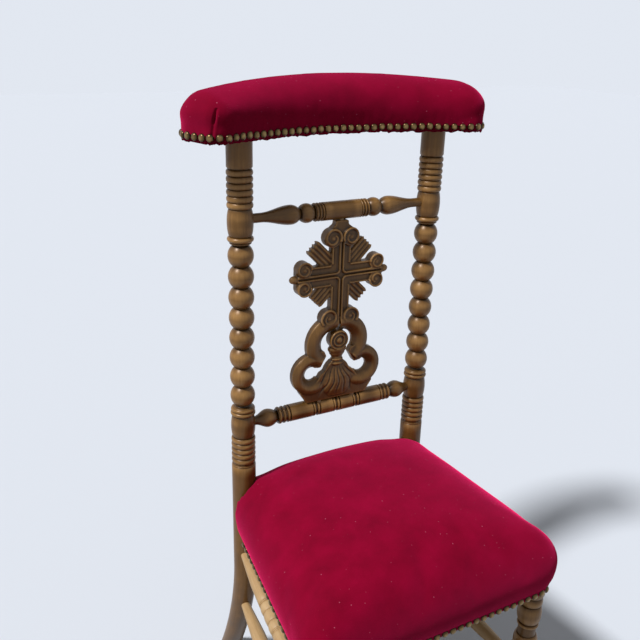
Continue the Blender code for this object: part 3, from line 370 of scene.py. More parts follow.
@dataclass(frozen=True)
class Velvet:
    """Crimson cotton velvet with a short brushed pile and a little lint."""

    deep: Colour = (0.125, 0.0002, 0.009, 1)
    crimson: Colour = (0.225, 0.0003, 0.018, 1)
    brushed: Colour = (0.320, 0.0008, 0.030, 1)
    lint: Colour = (0.560, 0.130, 0.220, 1)
    sheen: Colour = (1.0, 0.03, 0.18, 1)
    sheen_roughness: float = 0.50
    roughness: float = 0.88
    specular: float = 0.06
    nap_scale: Point2 = (21.0, 5.0)
    crush_scale: Point2 = (75.0, 3.0)
    crush_pull: float = 0.6
    pile_scale: Point2 = (1500.0, 2.0)
    nap_share: float = 0.62
    crush_share: float = 0.16
    pile_share: float = 0.16
    lay_base: float = 0.05
    fuzz_pile: float = 0.6
    fuzz_crush: float = 0.4
    bump: Point2 = (0.28, 0.0012)
    lint_scale: float = 105.0
    lint_radius: float = 0.078
    lint_bare: float = 0.42

    def build(self) -> Material:
        """Make the material, on object coordinates.

        Returns:
            The material.
        """
        recipe = Recipe("crimson_velvet")
        place = recipe.place()
        nap = recipe.noise(place, *self.nap_scale)
        crush = recipe.noise(recipe.stretched(place, (1.0, 1.0, self.crush_pull)), *self.crush_scale)
        pile = recipe.noise(place, *self.pile_scale)
        lay = recipe.sum(
            (nap, self.nap_share), (crush, self.crush_share), (pile, self.pile_share), base=self.lay_base
        )
        cloth = recipe.ramp(lay, ((0.25, self.deep), (0.52, self.crimson), (0.80, self.brushed)))
        recipe.shade(
            base_color=recipe.blend(self.specks(recipe, place), cloth, self.lint),
            roughness=self.roughness, specular_ior_level=self.specular,
            sheen_weight=1.0, sheen_roughness=self.sheen_roughness, sheen_tint=self.sheen,
        )
        fuzz = recipe.sum((pile, self.fuzz_pile), (crush, self.fuzz_crush))
        recipe.bump(fuzz, *self.bump)
        return recipe.material

    def specks(self, recipe: Recipe, place: Socket) -> Socket:
        """Scattered specks of lint, each a millimetre or so across.

        Args:
            recipe: The material's tree.
            place: The coordinates to scatter them on.

        Returns:
            A factor that is above 0 on a speck.
        """
        cells = recipe.add("ShaderNodeTexVoronoi", {"Vector": place, "Scale": self.lint_scale})
        chance = recipe.add("ShaderNodeSeparateColor", {"Color": cells.outputs["Color"]}).outputs
        near = recipe.math("LESS_THAN", cells.outputs["Distance"], self.lint_radius)
        some = recipe.math("GREATER_THAN", chance["Red"], self.lint_bare)
        return recipe.math("MULTIPLY", recipe.math("MULTIPLY", near, some), chance["Green"])


@dataclass(frozen=True)
class Brass:
    """Antiqued brass of the nail heads, with painted light on each dome."""

    tarnish_and_shade: Colour = (0.018, 0.011, 0.005, 1)
    brass: Colour = (0.095, 0.058, 0.020, 1)
    bright: Colour = (0.340, 0.230, 0.090, 1)
    patch_scale: float = 190.0
    relief_share: float = 0.80
    patch_share: float = 0.55
    wear_and_painted_light_base: float = -0.25
    metallic: float = 0.80
    roughness: Point2 = (0.22, 0.38)

    def build(self) -> Material:
        """Make the material, dark at each head's rim with tarnish and painted shade, and bright on its crown
        with wear and a painted highlight (layer "relief").

        Returns:
            The material.
        """
        recipe = Recipe("antique_brass")
        patch = recipe.noise(recipe.place(), self.patch_scale)
        relief = recipe.layer("relief", "Fac")
        wear_and_painted_light = recipe.sum((relief, self.relief_share), (patch, self.patch_share), base=self.wear_and_painted_light_base)
        # Dark towards each head's rim as tarnish and painted shade; bright on its crown as wear and a painted
        # highlight.
        colour = recipe.ramp(wear_and_painted_light, ((0.10, self.tarnish_and_shade), (0.55, self.brass), (0.95, self.bright)))
        roughness = recipe.span(patch, *self.roughness)
        recipe.shade(base_color=colour, metallic=self.metallic, roughness=roughness)
        return recipe.material


@dataclass(frozen=True)
class Jute:
    """Plain-woven jute of the webbing."""

    dark: Colour = (0.200, 0.140, 0.075, 1)
    light: Colour = (0.480, 0.370, 0.225, 1)
    threads: float = 900.0
    wander: float = 1.2
    patch_scale: float = 60.0
    weave_share: float = 0.6
    patch_share: float = 0.5
    tint_base: float = -0.05
    roughness: float = 0.92
    bump: Point2 = (0.5, 0.0008)

    def build(self) -> Material:
        """Make the material: warp and weft as crossed waves.

        Returns:
            The material.
        """
        recipe = Recipe("jute_webbing")
        place = recipe.place()
        inputs = {"Vector": place, "Scale": self.threads / (2 * math.pi), "Distortion": self.wander}
        waves = [
            recipe.add("ShaderNodeTexWave", inputs, bands_direction=direction).outputs["Fac"]
            for direction in ("X", "Y")
        ]
        weave = recipe.sum(*((wave, 1 / len(waves)) for wave in waves))
        patch = recipe.noise(place, self.patch_scale)
        tint = recipe.sum((weave, self.weave_share), (patch, self.patch_share), base=self.tint_base)
        colour = recipe.ramp(tint, ((0.2, self.dark), (0.8, self.light)))
        recipe.shade(base_color=colour, roughness=self.roughness)
        recipe.bump(weave, *self.bump)
        return recipe.material


@dataclass(frozen=True)
class Finishes:
    """Every finish of the chair, as a material."""

    bronzed: Material
    pale: Material
    sawn: Material
    velvet: Material
    brass: Material
    jute: Material

    @classmethod
    def mixed(cls) -> Finishes:
        """Make all the materials."""
        kinds = BronzedWood, PaleWood, SawnWood, Velvet, Brass, Jute
        return cls(*(kind().build() for kind in kinds))


@dataclass(frozen=True)
class Frame:
    """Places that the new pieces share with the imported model."""

    post_x: float
    post_y: float
    post_radius: float
    rest_underside: float
    seat_underside: float

    @classmethod
    def measured(cls) -> Frame:
        """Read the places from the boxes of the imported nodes.

        Returns:
            The places.
        """
        low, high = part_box("post_right")
        radius = (high.x - low.x) / 2
        return cls(
            post_x=(low.x + high.x) / 2,
            post_y=low.y + radius,
            post_radius=radius,
            rest_underside=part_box("top_rest_velvet")[0].z,
            seat_underside=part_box("seat_velvet")[0].z,
        )


def as_object(name: str, bm: BMesh) -> Piece:
    """An object of the scene with a bmesh's shape, which isn't freed.

    Args:
        name: The object's name.
        bm: Its shape.

    Returns:
        The object.
    """
    mesh = bpy.data.meshes.new(name)
    bm.to_mesh(mesh)
    thing = bpy.data.objects.new(name, mesh)
    bpy.context.collection.objects.link(thing)
    return thing


def discard(*things: Piece) -> None:
    """Remove objects and their meshes.

    Args:
        things: The objects.
    """
    for thing in things:
        mesh = thing.data
        bpy.data.objects.remove(thing)
        bpy.data.meshes.remove(mesh)


def evaluated(thing: Piece) -> BMesh:
    """An object's shape with its modifiers applied.

    Args:
        thing: The object.

    Returns:
        Its final shape.
    """
    bm = bmesh.new()
    bm.from_object(thing, bpy.context.evaluated_depsgraph_get())
    return bm


def wired(
    bm: BMesh, points: Iterable[Sequence[float]], closed: bool = True
) -> tuple[list[bmesh.types.BMVert], list[bmesh.types.BMEdge]]:
    """Add a line of points joined by edges.

    Args:
        bm: The bmesh that grows.
        points: The points in order.
        closed: Whether the last point joins the first.

    Returns:
        The line's vertices and edges.
    """
    verts = [bm.verts.new(point) for point in points]
    nexts = verts[1:] + verts[:1] if closed else verts[1:]
    return verts, [bm.edges.new(pair) for pair in zip(verts, nexts)]


def smoothed(bm: BMesh, verts: Sequence[bmesh.types.BMVert], rounds: int) -> None:
    """Smooth points of a bmesh along all three axes, in rounds.

    Args:
        bm: The bmesh.
        verts: The points to smooth.
        rounds: How many rounds.
    """
    for _ in range(rounds):
        bmesh.ops.smooth_vert(
            bm, verts=verts, factor=0.5, use_axis_x=True, use_axis_y=True, use_axis_z=True
        )


def dress(
    name: str, bm: BMesh, finish: Material, nodes: Sequence[str], crease: float = 50.0
) -> Piece:
    """Turn a bmesh into a finished piece that stands for CAD nodes.

    Args:
        name: The piece's name.
        bm: Its shape, which is freed.
        finish: Its material.
        nodes: The CAD nodes that it stands for.
        crease: Edges sharper than this many degrees stay sharp.

    Returns:
        The piece.
    """
    piece = as_object(name, bm)
    bm.free()
    mesh = piece.data
    mesh.shade_smooth()
    mesh.set_sharp_from_angle(angle=math.radians(crease))
    mesh.materials.append(finish)
    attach(piece, BODY)
    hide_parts(*nodes)
    LOG.info("%s: %d faces, for %s", name, len(mesh.polygons), ", ".join(nodes))
    return piece


@dataclass
class Turning:
    """Outline of a turned piece: (place along its axis, radius) points, walked from one end."""

    points: list[Point2] = field(default_factory=list)
    reach: float = 0.0155
    least_relief: float = 0.0036
    plain_relief: float = 0.56

    @property
    def end(self) -> float:
        """Place along the axis that the walk has come to."""
        return self.points[-1][0]

    def to(self, place: float, radius: float) -> Turning:
        """Walk straight to a point."""
        self.points.append((place, radius))
        return self

    def run(self, place: float, radius: float, steps: int) -> Turning:
        """Walk straight to a point in equal steps, so that the piece can be bent there.

        Args:
            place: Where the walk ends.
            radius: The radius there.
            steps: How many steps.

        Returns:
            The turning itself.
        """
        start, first = self.points[-1]
        for i in range(1, steps + 1):
            share = i / steps
            self.to(start + (place - start) * share, first + (radius - first) * share)
        return self

    def swell(
        self, length: float, foot: float, crown: float, fullness: float = 0.5, steps: int = 10
    ) -> Turning:
        """Walk over a bead, ring or barrel.

        Args:
            length: Its length along the axis.
            foot: Its radius at both ends.
            crown: Its radius at its middle.
            fullness: From 1, a plain wave, down to 0, a square block.
            steps: Points over it.

        Returns:
            The turning itself.
        """
        start = self.end
        self.to(start, foot)
        for i in range(1, steps + 1):
            share = 0.5 - 0.5 * math.cos(math.pi * i / steps)
            wide = math.sin(math.pi * share) ** fullness
            self.to(start + length * share, foot + (crown - foot) * wide)
        return self

    def ball(self, length: float, foot: float, crown: float, steps: int = 18) -> Turning:
        """Walk over a ball that is cut off at both ends, as far as its foot's radius.

        Args:
            length: Its length along the axis.
            foot: Its radius at both ends.
            crown: Its widest radius.
            steps: Points over it.

        Returns:
            The turning itself.
        """
        start = self.end
        cut = math.sqrt(1 - (foot / crown) ** 2)
        self.to(start, foot)
        for i in range(1, steps + 1):
            along = -math.cos(math.pi * i / steps)
            self.to(start + length * (0.5 + 0.5 * along), crown * math.sqrt(1 - (cut * along) ** 2))
        return self

    def ease(self, length: float, end: float, steps: int = 8) -> Turning:
        """Walk along an S-shaped change of radius.

        Args:
            length: Its length along the axis.
            end: The radius that it comes to.
            steps: Points along it.

        Returns:
            The turning itself.
        """
        start, first = self.points[-1]
        for i in range(1, steps + 1):
            share = i / steps
            turn = 0.5 - 0.5 * math.cos(math.pi * share)
            self.to(start + length * share, first + (end - first) * turn)
        return self

    def doubled(self) -> Turning:
        """The whole of a piece whose outer half was walked from its middle."""
        return Turning([(-place, radius) for place, radius in reversed(self.points)] + self.points)

    def relief(self, index: int) -> float:
        """How proud a point stands of its neighbours, from 0 in a groove to 1 on a crown.

        Args:
            index: The point's number.

        Returns:
            The relief.
        """
        place, radius = self.points[index]
        near = [
            (1 - abs(p - place) / self.reach, r) for p, r in self.points if abs(p - place) < self.reach
        ]
        mean = sum(weight * r for weight, r in near) / sum(weight for weight, _ in near)
        spread = max(max(r for _, r in near) - min(r for _, r in near), self.least_relief)
        return min(1.0, max(0.0, self.plain_relief + (radius - mean) / spread))

    def spun(self, segments: int) -> BMesh:
        """Spin the outline about Z.

        Args:
            segments: Steps round the axis.

        Returns:
            A closed bmesh with the layers "relief" and "grain".
        """
        bm = bmesh.new()
        relief = bm.verts.layers.float.new("relief")
        grain = bm.verts.layers.float_vector.new("grain")
        walk = [(self.points[0][0], 0.0)] + self.points + [(self.end, 0.0)]
        verts, edges = wired(bm, [(radius, 0, place) for place, radius in walk], closed=False)
        # The wood finishes turn this relief into painted shade in the grooves and wear on the crowns.
        for i, vert in enumerate(verts):
            vert[relief] = self.relief(min(max(i - 1, 0), len(self.points) - 1))
        bmesh.ops.spin(
            bm, geom=verts + edges, cent=(0, 0, 0), axis=(0, 0, 1), angle=2 * math.pi, steps=segments,
            use_merge=True,
        )
        bmesh.ops.remove_doubles(bm, verts=bm.verts, dist=MERGE)
        bmesh.ops.recalc_face_normals(bm, faces=bm.faces)
        for vert in bm.verts:
            vert[grain] = vert.co
        return bm


@dataclass
class TurnedPost:
    """A rear leg and back post in one piece: swept below the seat, turned above it."""

    frame: Frame
    side: Side
    bend_height: float = 0.245
    bend_steps: int = 40
    sweep: float = 0.082
    sweep_power: float = 1.6
    foot_radius: float = 0.0180
    foot_edge: float = 0.0015
    shank_steps: int = 12
    fillet_height: float = 0.4412
    fillet_width: float = 0.003
    fillet_radius: float = 0.0172
    fillet_start: float = 0.6
    fillet_bead: float = 0.8
    fillet_inset: float = 0.0004
    ring_pitch: float = 0.0089
    ring_groove: float = 0.0159
    lower_rings: int = 5
    upper_rings: int = 6
    lower_barrel: float = 0.037
    upper_barrel: float = 0.039
    barrel_end: float = 0.0153
    barrel_fullness: float = 0.52
    barrel_steps: int = 22
    torus: float = 0.0072
    torus_proud: float = 0.0003
    torus_steps: int = 12
    upper_torus: float = 1.1
    slope_ring: float = 0.8
    slope_groove: float = 0.0012
    collar_groove: float = 0.0149
    small_ring: float = 0.0008
    small_ring_start: float = 0.35
    bobbin_base: float = 0.5427
    bobbins: int = 8
    bobbin_pitch: float = 0.031
    bobbin_neck: float = 0.0110
    upper_barrel_base: float = 0.8032
    plain_radius: float = 0.0180
    plain_steps: int = 6
    segments: int = 48

    def turning(self) -> Turning:
        """The outline from the foot to the top rest.

        Returns:
            The outline.
        """
        crown = self.frame.post_radius
        line = Turning().to(0.0, self.foot_radius - self.foot_edge).to(self.foot_edge, self.foot_radius)
        line.run(self.bend_height, crown, self.bend_steps)
        line.run(self.fillet_height - self.fillet_width, crown, self.shank_steps)
        line.to(self.fillet_height - self.fillet_start * self.fillet_width, self.fillet_radius)
        bead = self.fillet_bead * self.fillet_width
        line.swell(bead, self.fillet_radius, crown - self.fillet_inset, steps=6)
        line.to(self.fillet_height + self.fillet_width, self.fillet_radius)
        self.rings(line, self.lower_rings)
        self.barrel(line, self.lower_barrel)
        self.lower_collar(line)
        for _ in range(self.bobbins):
            line.ball(self.bobbin_pitch, self.bobbin_neck, crown)
        self.upper_collar(line)
        self.barrel(line, self.upper_barrel)
        self.rings(line, self.upper_rings)
        line.to(line.end + self.fillet_width, self.plain_radius)
        line.run(self.frame.rest_underside, self.plain_radius, self.plain_steps)
        return line

    def rings(self, line: Turning, count: int) -> None:
        """Walk a stack of rings."""
        for _ in range(count):
            line.swell(self.ring_pitch, self.ring_groove, self.frame.post_radius)

    def barrel(self, line: Turning, length: float) -> None:
        """Walk a barrel."""
        crown = self.frame.post_radius
        line.swell(length, self.barrel_end, crown, self.barrel_fullness, self.barrel_steps)

    def lower_collar(self, line: Turning) -> None:
        """Walk the round collar over the lower barrel, and the sloped ring under the bobbins.

        Args:
            line: The post's outline so far.
        """
        crown = self.frame.post_radius
        line.swell(self.torus, self.barrel_end, crown + self.torus_proud, steps=self.torus_steps)
        groove = self.collar_groove + self.slope_groove
        line.swell(self.slope_ring * self.torus, groove, crown - self.torus_proud)
        line.ease(self.bobbin_base - line.end, self.bobbin_neck)

    def upper_collar(self, line: Turning) -> None:
        """Walk the small ring over the bobbins, and the round collar under the upper barrel.

        Args:
            line: The post's outline so far.
        """
        torus = self.upper_torus * self.torus
        room = self.upper_barrel_base - line.end - torus
        low, high = self.collar_groove - self.small_ring, self.collar_groove + self.small_ring
        line.ease(self.small_ring_start * room, low)
        line.swell((1 - self.small_ring_start) * room, low, high, steps=8)
        crown = self.frame.post_radius + self.torus_proud
        line.swell(torus, self.collar_groove, crown, steps=self.torus_steps)

    def swept(self, height: float) -> float:
        """How far back the leg's axis lies at a height."""
        drop = max(0.0, (self.bend_height - height) / self.bend_height)
        return self.sweep * drop ** self.sweep_power

    def build(self, finishes: Finishes) -> None:
        """Spin the post, sweep its leg back and set it in place.

        Args:
            finishes: The chair's finishes.
        """
        bm = self.turning().spun(self.segments)
        for vert in bm.verts:
            vert.co.y += self.swept(vert.co.z)
        place = (self.side.value * self.frame.post_x, self.frame.post_y, 0)
        bmesh.ops.translate(bm, vec=place, verts=bm.verts)
        node = "post_" + self.side.word
        dress("turned_" + node, bm, finishes.bronzed, [node])


@dataclass
class CrossRails:
    """The turned rails between the posts, above and below the splat."""

    frame: Frame
    upper_height: float = 0.826
    lower_height: float = 0.509
    radius: float = 0.0136
    groove: float = 0.0114
    neck: float = 0.0078
    vase: float = 0.0142
    vase_power: float = 0.7
    vase_steps: int = 26
    upper_vase: Point2 = (0.20, 0.84)
    lower_vase: Point2 = (0.42, 1.0)
    tenon: float = 0.0068
    bury: float = 0.006
    upper_core: float = 0.030
    upper_pitch: float = 0.005
    ball: float = 0.022
    ball_fullness: float = 0.55
    ball_steps: int = 18
    lower_core: float = 0.081
    pair_place: float = 0.036
    lower_pitch: float = 0.007
    rings: int = 3
    ring_gap: float = 0.2
    ring_share: float = 0.6
    ring_fullness: float = 0.45
    segments: int = 40

    def vase_end(self, line: Turning, peak: float, foot: float) -> None:
        """Walk from a neck over a vase to the tenon in the post.

        Args:
            line: The rail's outline so far.
            peak: Share of the vase's length at its widest.
            foot: Share of its length where it has tapered off.
        """
        start = line.end
        end = self.frame.post_x - self.frame.post_radius
        length = end - start
        for i in range(1, self.vase_steps + 1):
            share = i / self.vase_steps
            if share < peak:
                wide = math.sin(0.5 * math.pi * share / peak) ** self.vase_power
            else:
                wide = 0.5 + 0.5 * math.cos(math.pi * min((share - peak) / (foot - peak), 1.0))
            line.to(start + length * share, self.tenon + (self.vase - self.tenon) * wide)
        line.to(end + self.bury, self.tenon)

    def ringed(self, line: Turning, pitch: float, count: int) -> None:
        """Walk over thin rings between grooves.

        Args:
            line: The rail's outline so far.
            pitch: Length of a ring with its grooves.
            count: How many rings.
        """
        for _ in range(count):
            start = line.end
            line.to(start, self.groove).to(start + self.ring_gap * pitch, self.groove)
            line.swell(self.ring_share * pitch, self.groove, self.radius, self.ring_fullness, 8)
            line.to(start + pitch, self.groove)

    def upper(self) -> Turning:
        """Outer half of the upper rail.

        Returns:
            The outline from the middle.
        """
        line = Turning().to(0.0, self.radius).run(self.upper_core, self.radius, 4)
        self.ringed(line, self.upper_pitch, self.rings)
        line.swell(self.ball, self.neck, self.vase, self.ball_fullness, self.ball_steps)
        self.vase_end(line, *self.upper_vase)
        return line

    def lower(self) -> Turning:
        """Outer half of the lower rail.

        Returns:
            The outline from the middle.
        """
        pitch = self.lower_pitch
        line = Turning().to(0.0, self.groove)
        self.ringed(line, pitch, 1)
        line.to(pitch, self.radius).run(self.pair_place - pitch, self.radius, 4)
        self.ringed(line, pitch, 2)
        line.to(line.end, self.radius).run(self.lower_core, self.radius, 6)
        self.ringed(line, pitch, self.rings)
        line.to(line.end, self.neck)
        self.vase_end(line, *self.lower_vase)
        return line

    def build(self, finishes: Finishes) -> None:
        """Spin both rails and lay them between the posts.

        Args:
            finishes: The chair's finishes.
        """
        for name, half, height in (
            ("upper_cross_rail", self.upper(), self.upper_height),
            ("lower_cross_rail", self.lower(), self.lower_height),
        ):
            bm = half.doubled().spun(self.segments)
            lie = Matrix.Rotation(math.pi / 2, 4, "Y")
            turn = Matrix.Translation((0, self.frame.post_y, height)) @ lie
            bmesh.ops.transform(bm, matrix=turn, verts=bm.verts)
            dress("turned_" + name, bm, finishes.bronzed, [name])


@dataclass
class LegsAndStretchers:
    """The turned front legs and all the stretchers."""

    frame: Frame
    upper_height: float = 0.2765
    lower_height: float = 0.164
    fall: float = 0.025
    upper_outset: float = 0.0045
    lower_outset: float = 0.0005
    front_height: float = 0.195
    back_height: float = 0.215
    leg_radius: float = 0.0185
    leg_shoulder: float = 0.0174
    leg_neck: float = 0.0137
    leg_ankle: float = 0.0106
    foot_edge: float = 0.001
    foot_height: float = 0.028
    foot_swell: float = 0.4
    block_half: float = 0.016
    block_fullness: float = 0.42
    collar: float = 0.006
    collar_gap: float = 0.008
    collar_inset: float = 0.001
    cap_share: float = 0.45
    cap_fullness: float = 0.4
    radius: float = 0.0117
    bead: float = 0.0123
    groove: float = 0.0101
    bead_half: float = 0.0100
    bead_power: float = 0.6
    bead_steps: int = 8
    ring_length: float = 0.0160
    ring_fullness: float = 0.34
    fine_groove: float = 0.0016
    fine_rings: int = 2
    fine_floor: float = 0.0006
    fine_foot: float = 0.0008
    fine_fullness: float = 0.4
    fine_edge: float = 0.001
    swell_end: float = 0.072
    swell_loss: float = 0.0002
    end_radius: float = 0.0068
    bury: float = 0.010
    segments: int = 40

    def leg_axis(self, side: Side) -> Vector:
        """Foot of a front leg's axis."""
        low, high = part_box("front_leg_" + side.word)
        return Vector(((low.x + high.x) / 2, (low.y + high.y) / 2, 0))

    def leg(self, side: Side, finishes: Finishes) -> None:
        """Spin a front leg: a peg foot, and a swelling at each stretcher and under the seat.

        Args:
            side: The leg's side.
            finishes: The chair's finishes.
        """
        top = self.frame.seat_underside
        neck = self.leg_neck
        line = Turning().to(0.0, self.leg_ankle - self.foot_edge).to(self.foot_edge, self.leg_ankle)
        line.ease(self.foot_swell * self.foot_height, neck)
        line.ease((1 - self.foot_swell) * self.foot_height, self.leg_ankle)
        for height in (self.lower_height - self.fall, self.front_height, self.upper_height - self.fall):
            line.ease(height - self.block_half - self.collar_gap - line.end, neck, 14)
            line.swell(self.collar, neck, self.leg_shoulder - self.collar_inset, steps=8)
            line.to(height - self.block_half, neck)
            line.swell(2 * self.block_half, neck, self.leg_radius, self.block_fullness, 18)
        line.swell(self.cap_share * (top - line.end), neck, self.leg_shoulder)
        line.swell(top - line.end, neck, self.leg_radius, self.cap_fullness, 12)
        bm = line.spun(self.segments)
        bmesh.ops.translate(bm, vec=self.leg_axis(side), verts=bm.verts)
        node = "front_leg_" + side.word
        dress("turned_" + node, bm, finishes.bronzed, [node])

    def half(self, length: float) -> Turning:
        """Outer half of a stretcher of a given half length.

        Args:
            length: The half length.

        Returns:
            The outline from the middle.
        """
        line = Turning().to(0.0, self.bead)
        for i in range(1, self.bead_steps + 1):
            turn = math.pi / 2 * i / self.bead_steps
            rise = math.cos(turn) ** self.bead_power if i < self.bead_steps else 0.0
            line.to(self.bead_half * math.sin(turn), self.groove + (self.bead - self.groove) * rise)
        line.swell(self.ring_length, self.groove, self.bead, self.ring_fullness, 16)
        floor = self.groove + self.fine_floor
        for _ in range(self.fine_rings):
            line.to(line.end, floor).to(line.end + self.fine_groove / 2, floor)
            foot = self.groove + self.fine_foot
            line.swell(self.fine_groove, foot, self.radius, self.fine_fullness, 6)
        line.to(line.end + self.fine_edge, self.radius)
        line.run(self.swell_end, self.radius - self.swell_loss, 6)
        line.run(length, self.end_radius, 12)
        return line

    def stretcher(self, name: str, start: Vector, end: Vector, finishes: Finishes) -> None:
        """Spin a stretcher and lay it between the axes of two legs.

        Args:
            name: The CAD node that it stands for.
            start: Its first end, on a leg's axis.
            end: Its other end.
            finishes: The chair's finishes.
        """
        way = end - start
        bm = self.half(way.length / 2 - self.bury).doubled().spun(self.segments)
        turn = way.normalized().to_track_quat("Z", "X").to_matrix().to_4x4()
        bmesh.ops.transform(bm, matrix=Matrix.Translation((start + end) / 2) @ turn, verts=bm.verts)
        dress("turned_" + name, bm, finishes.pale, [name])

    def rear(self, post: TurnedPost, height: float) -> Vector:
        """Place on a rear leg's axis at a height."""
        back = self.frame.post_y + post.swept(height)
        return Vector((post.side.value * self.frame.post_x, back, height))

    def build(self, posts: dict[Side, TurnedPost], finishes: Finishes) -> None:
        """Make the legs, the side stretchers in pairs, and the front and back ones.

        Args:
            posts: The posts by side.
            finishes: The chair's finishes.
        """
        for side in posts:
            self.leg(side, finishes)
        levels = (
            ("upper", self.upper_height, self.upper_outset),
            ("lower", self.lower_height, self.lower_outset),
        )
        for side, post in posts.items():
            for word, height, aside in levels:
                outset = Vector((side.value * aside, 0, 0))
                front = self.leg_axis(side) + Vector((0, 0, height - self.fall)) + outset
                name = "side_stretcher_" + word + "_" + side.word
                self.stretcher(name, self.rear(post, height) + outset, front, finishes)
        rise = Vector((0, 0, self.front_height))
        self.stretcher("front_stretcher", *(self.leg_axis(side) + rise for side in Side), finishes)
        backs = (self.rear(posts[side], self.back_height) for side in Side)
        self.stretcher("back_stretcher", *backs, finishes)


@dataclass(frozen=True)
class ScrollForm:
    """Proportions of a scroll: of its radius for the rim and the eye, of its rim for the rest."""

    rim: float = 0.125
    inset: float = 0.3
    sunk: float = 1.9
    taper: float = 0.97
    wind: float = 0.60
    wind_start: float = 0.30
    fall: float = 0.5
    thinning: float = 0.25
    eye_sunk: float = 2.2
    eye: tuple[Point2, ...] = ((0.0, 0.24), (0.09, 0.20), (0.14, 0.08))
    steps: int = 44


@dataclass(frozen=True)
class RayForm:
    """Sizes of a bundle of rays. The shoulders and the tip are shares of a ray's half width."""

    upper_length: float = 0.0665
    lower_length: float = 0.0585
    pitch: float = 0.0064
    half_share: float = 0.46
    count: int = 4
    start: float = 0.010
    depth: float = -0.0006
    shoulder: float = 1.3
    plate_shoulder: float = 1.4
    tip: float = 0.6
    tip_radii: Point2 = (0.62, 0.22)
    steps: int = 6


@dataclass(frozen=True)
class LeafForm:
    """The swelling of the leaf under the cup, and the veins that fan out over it."""

    outline: tuple[Point2, ...] = (
        (0.006, 0.020), (0.016, 0.0265), (0.028, 0.0285), (0.038, 0.0265), (0.046, 0.0215),
        (0.053, 0.0165), (0.0585, 0.0125), (0.063, 0.0098),
    )
    depth: float = -0.0012
    flatten: float = 0.27
    front: float = -0.002
    apex: float = 0.072
    foot: float = 0.006
    head: float = 0.057
    wide: float = 0.034
    foot_fade: float = 0.014
    head_fade: float = 0.010
    side_fade: float = 0.008
    vein_rate: float = 29.0
    vein_depth: float = 0.0012
    wave: float = 0.05
    wave_rate: float = 150.0


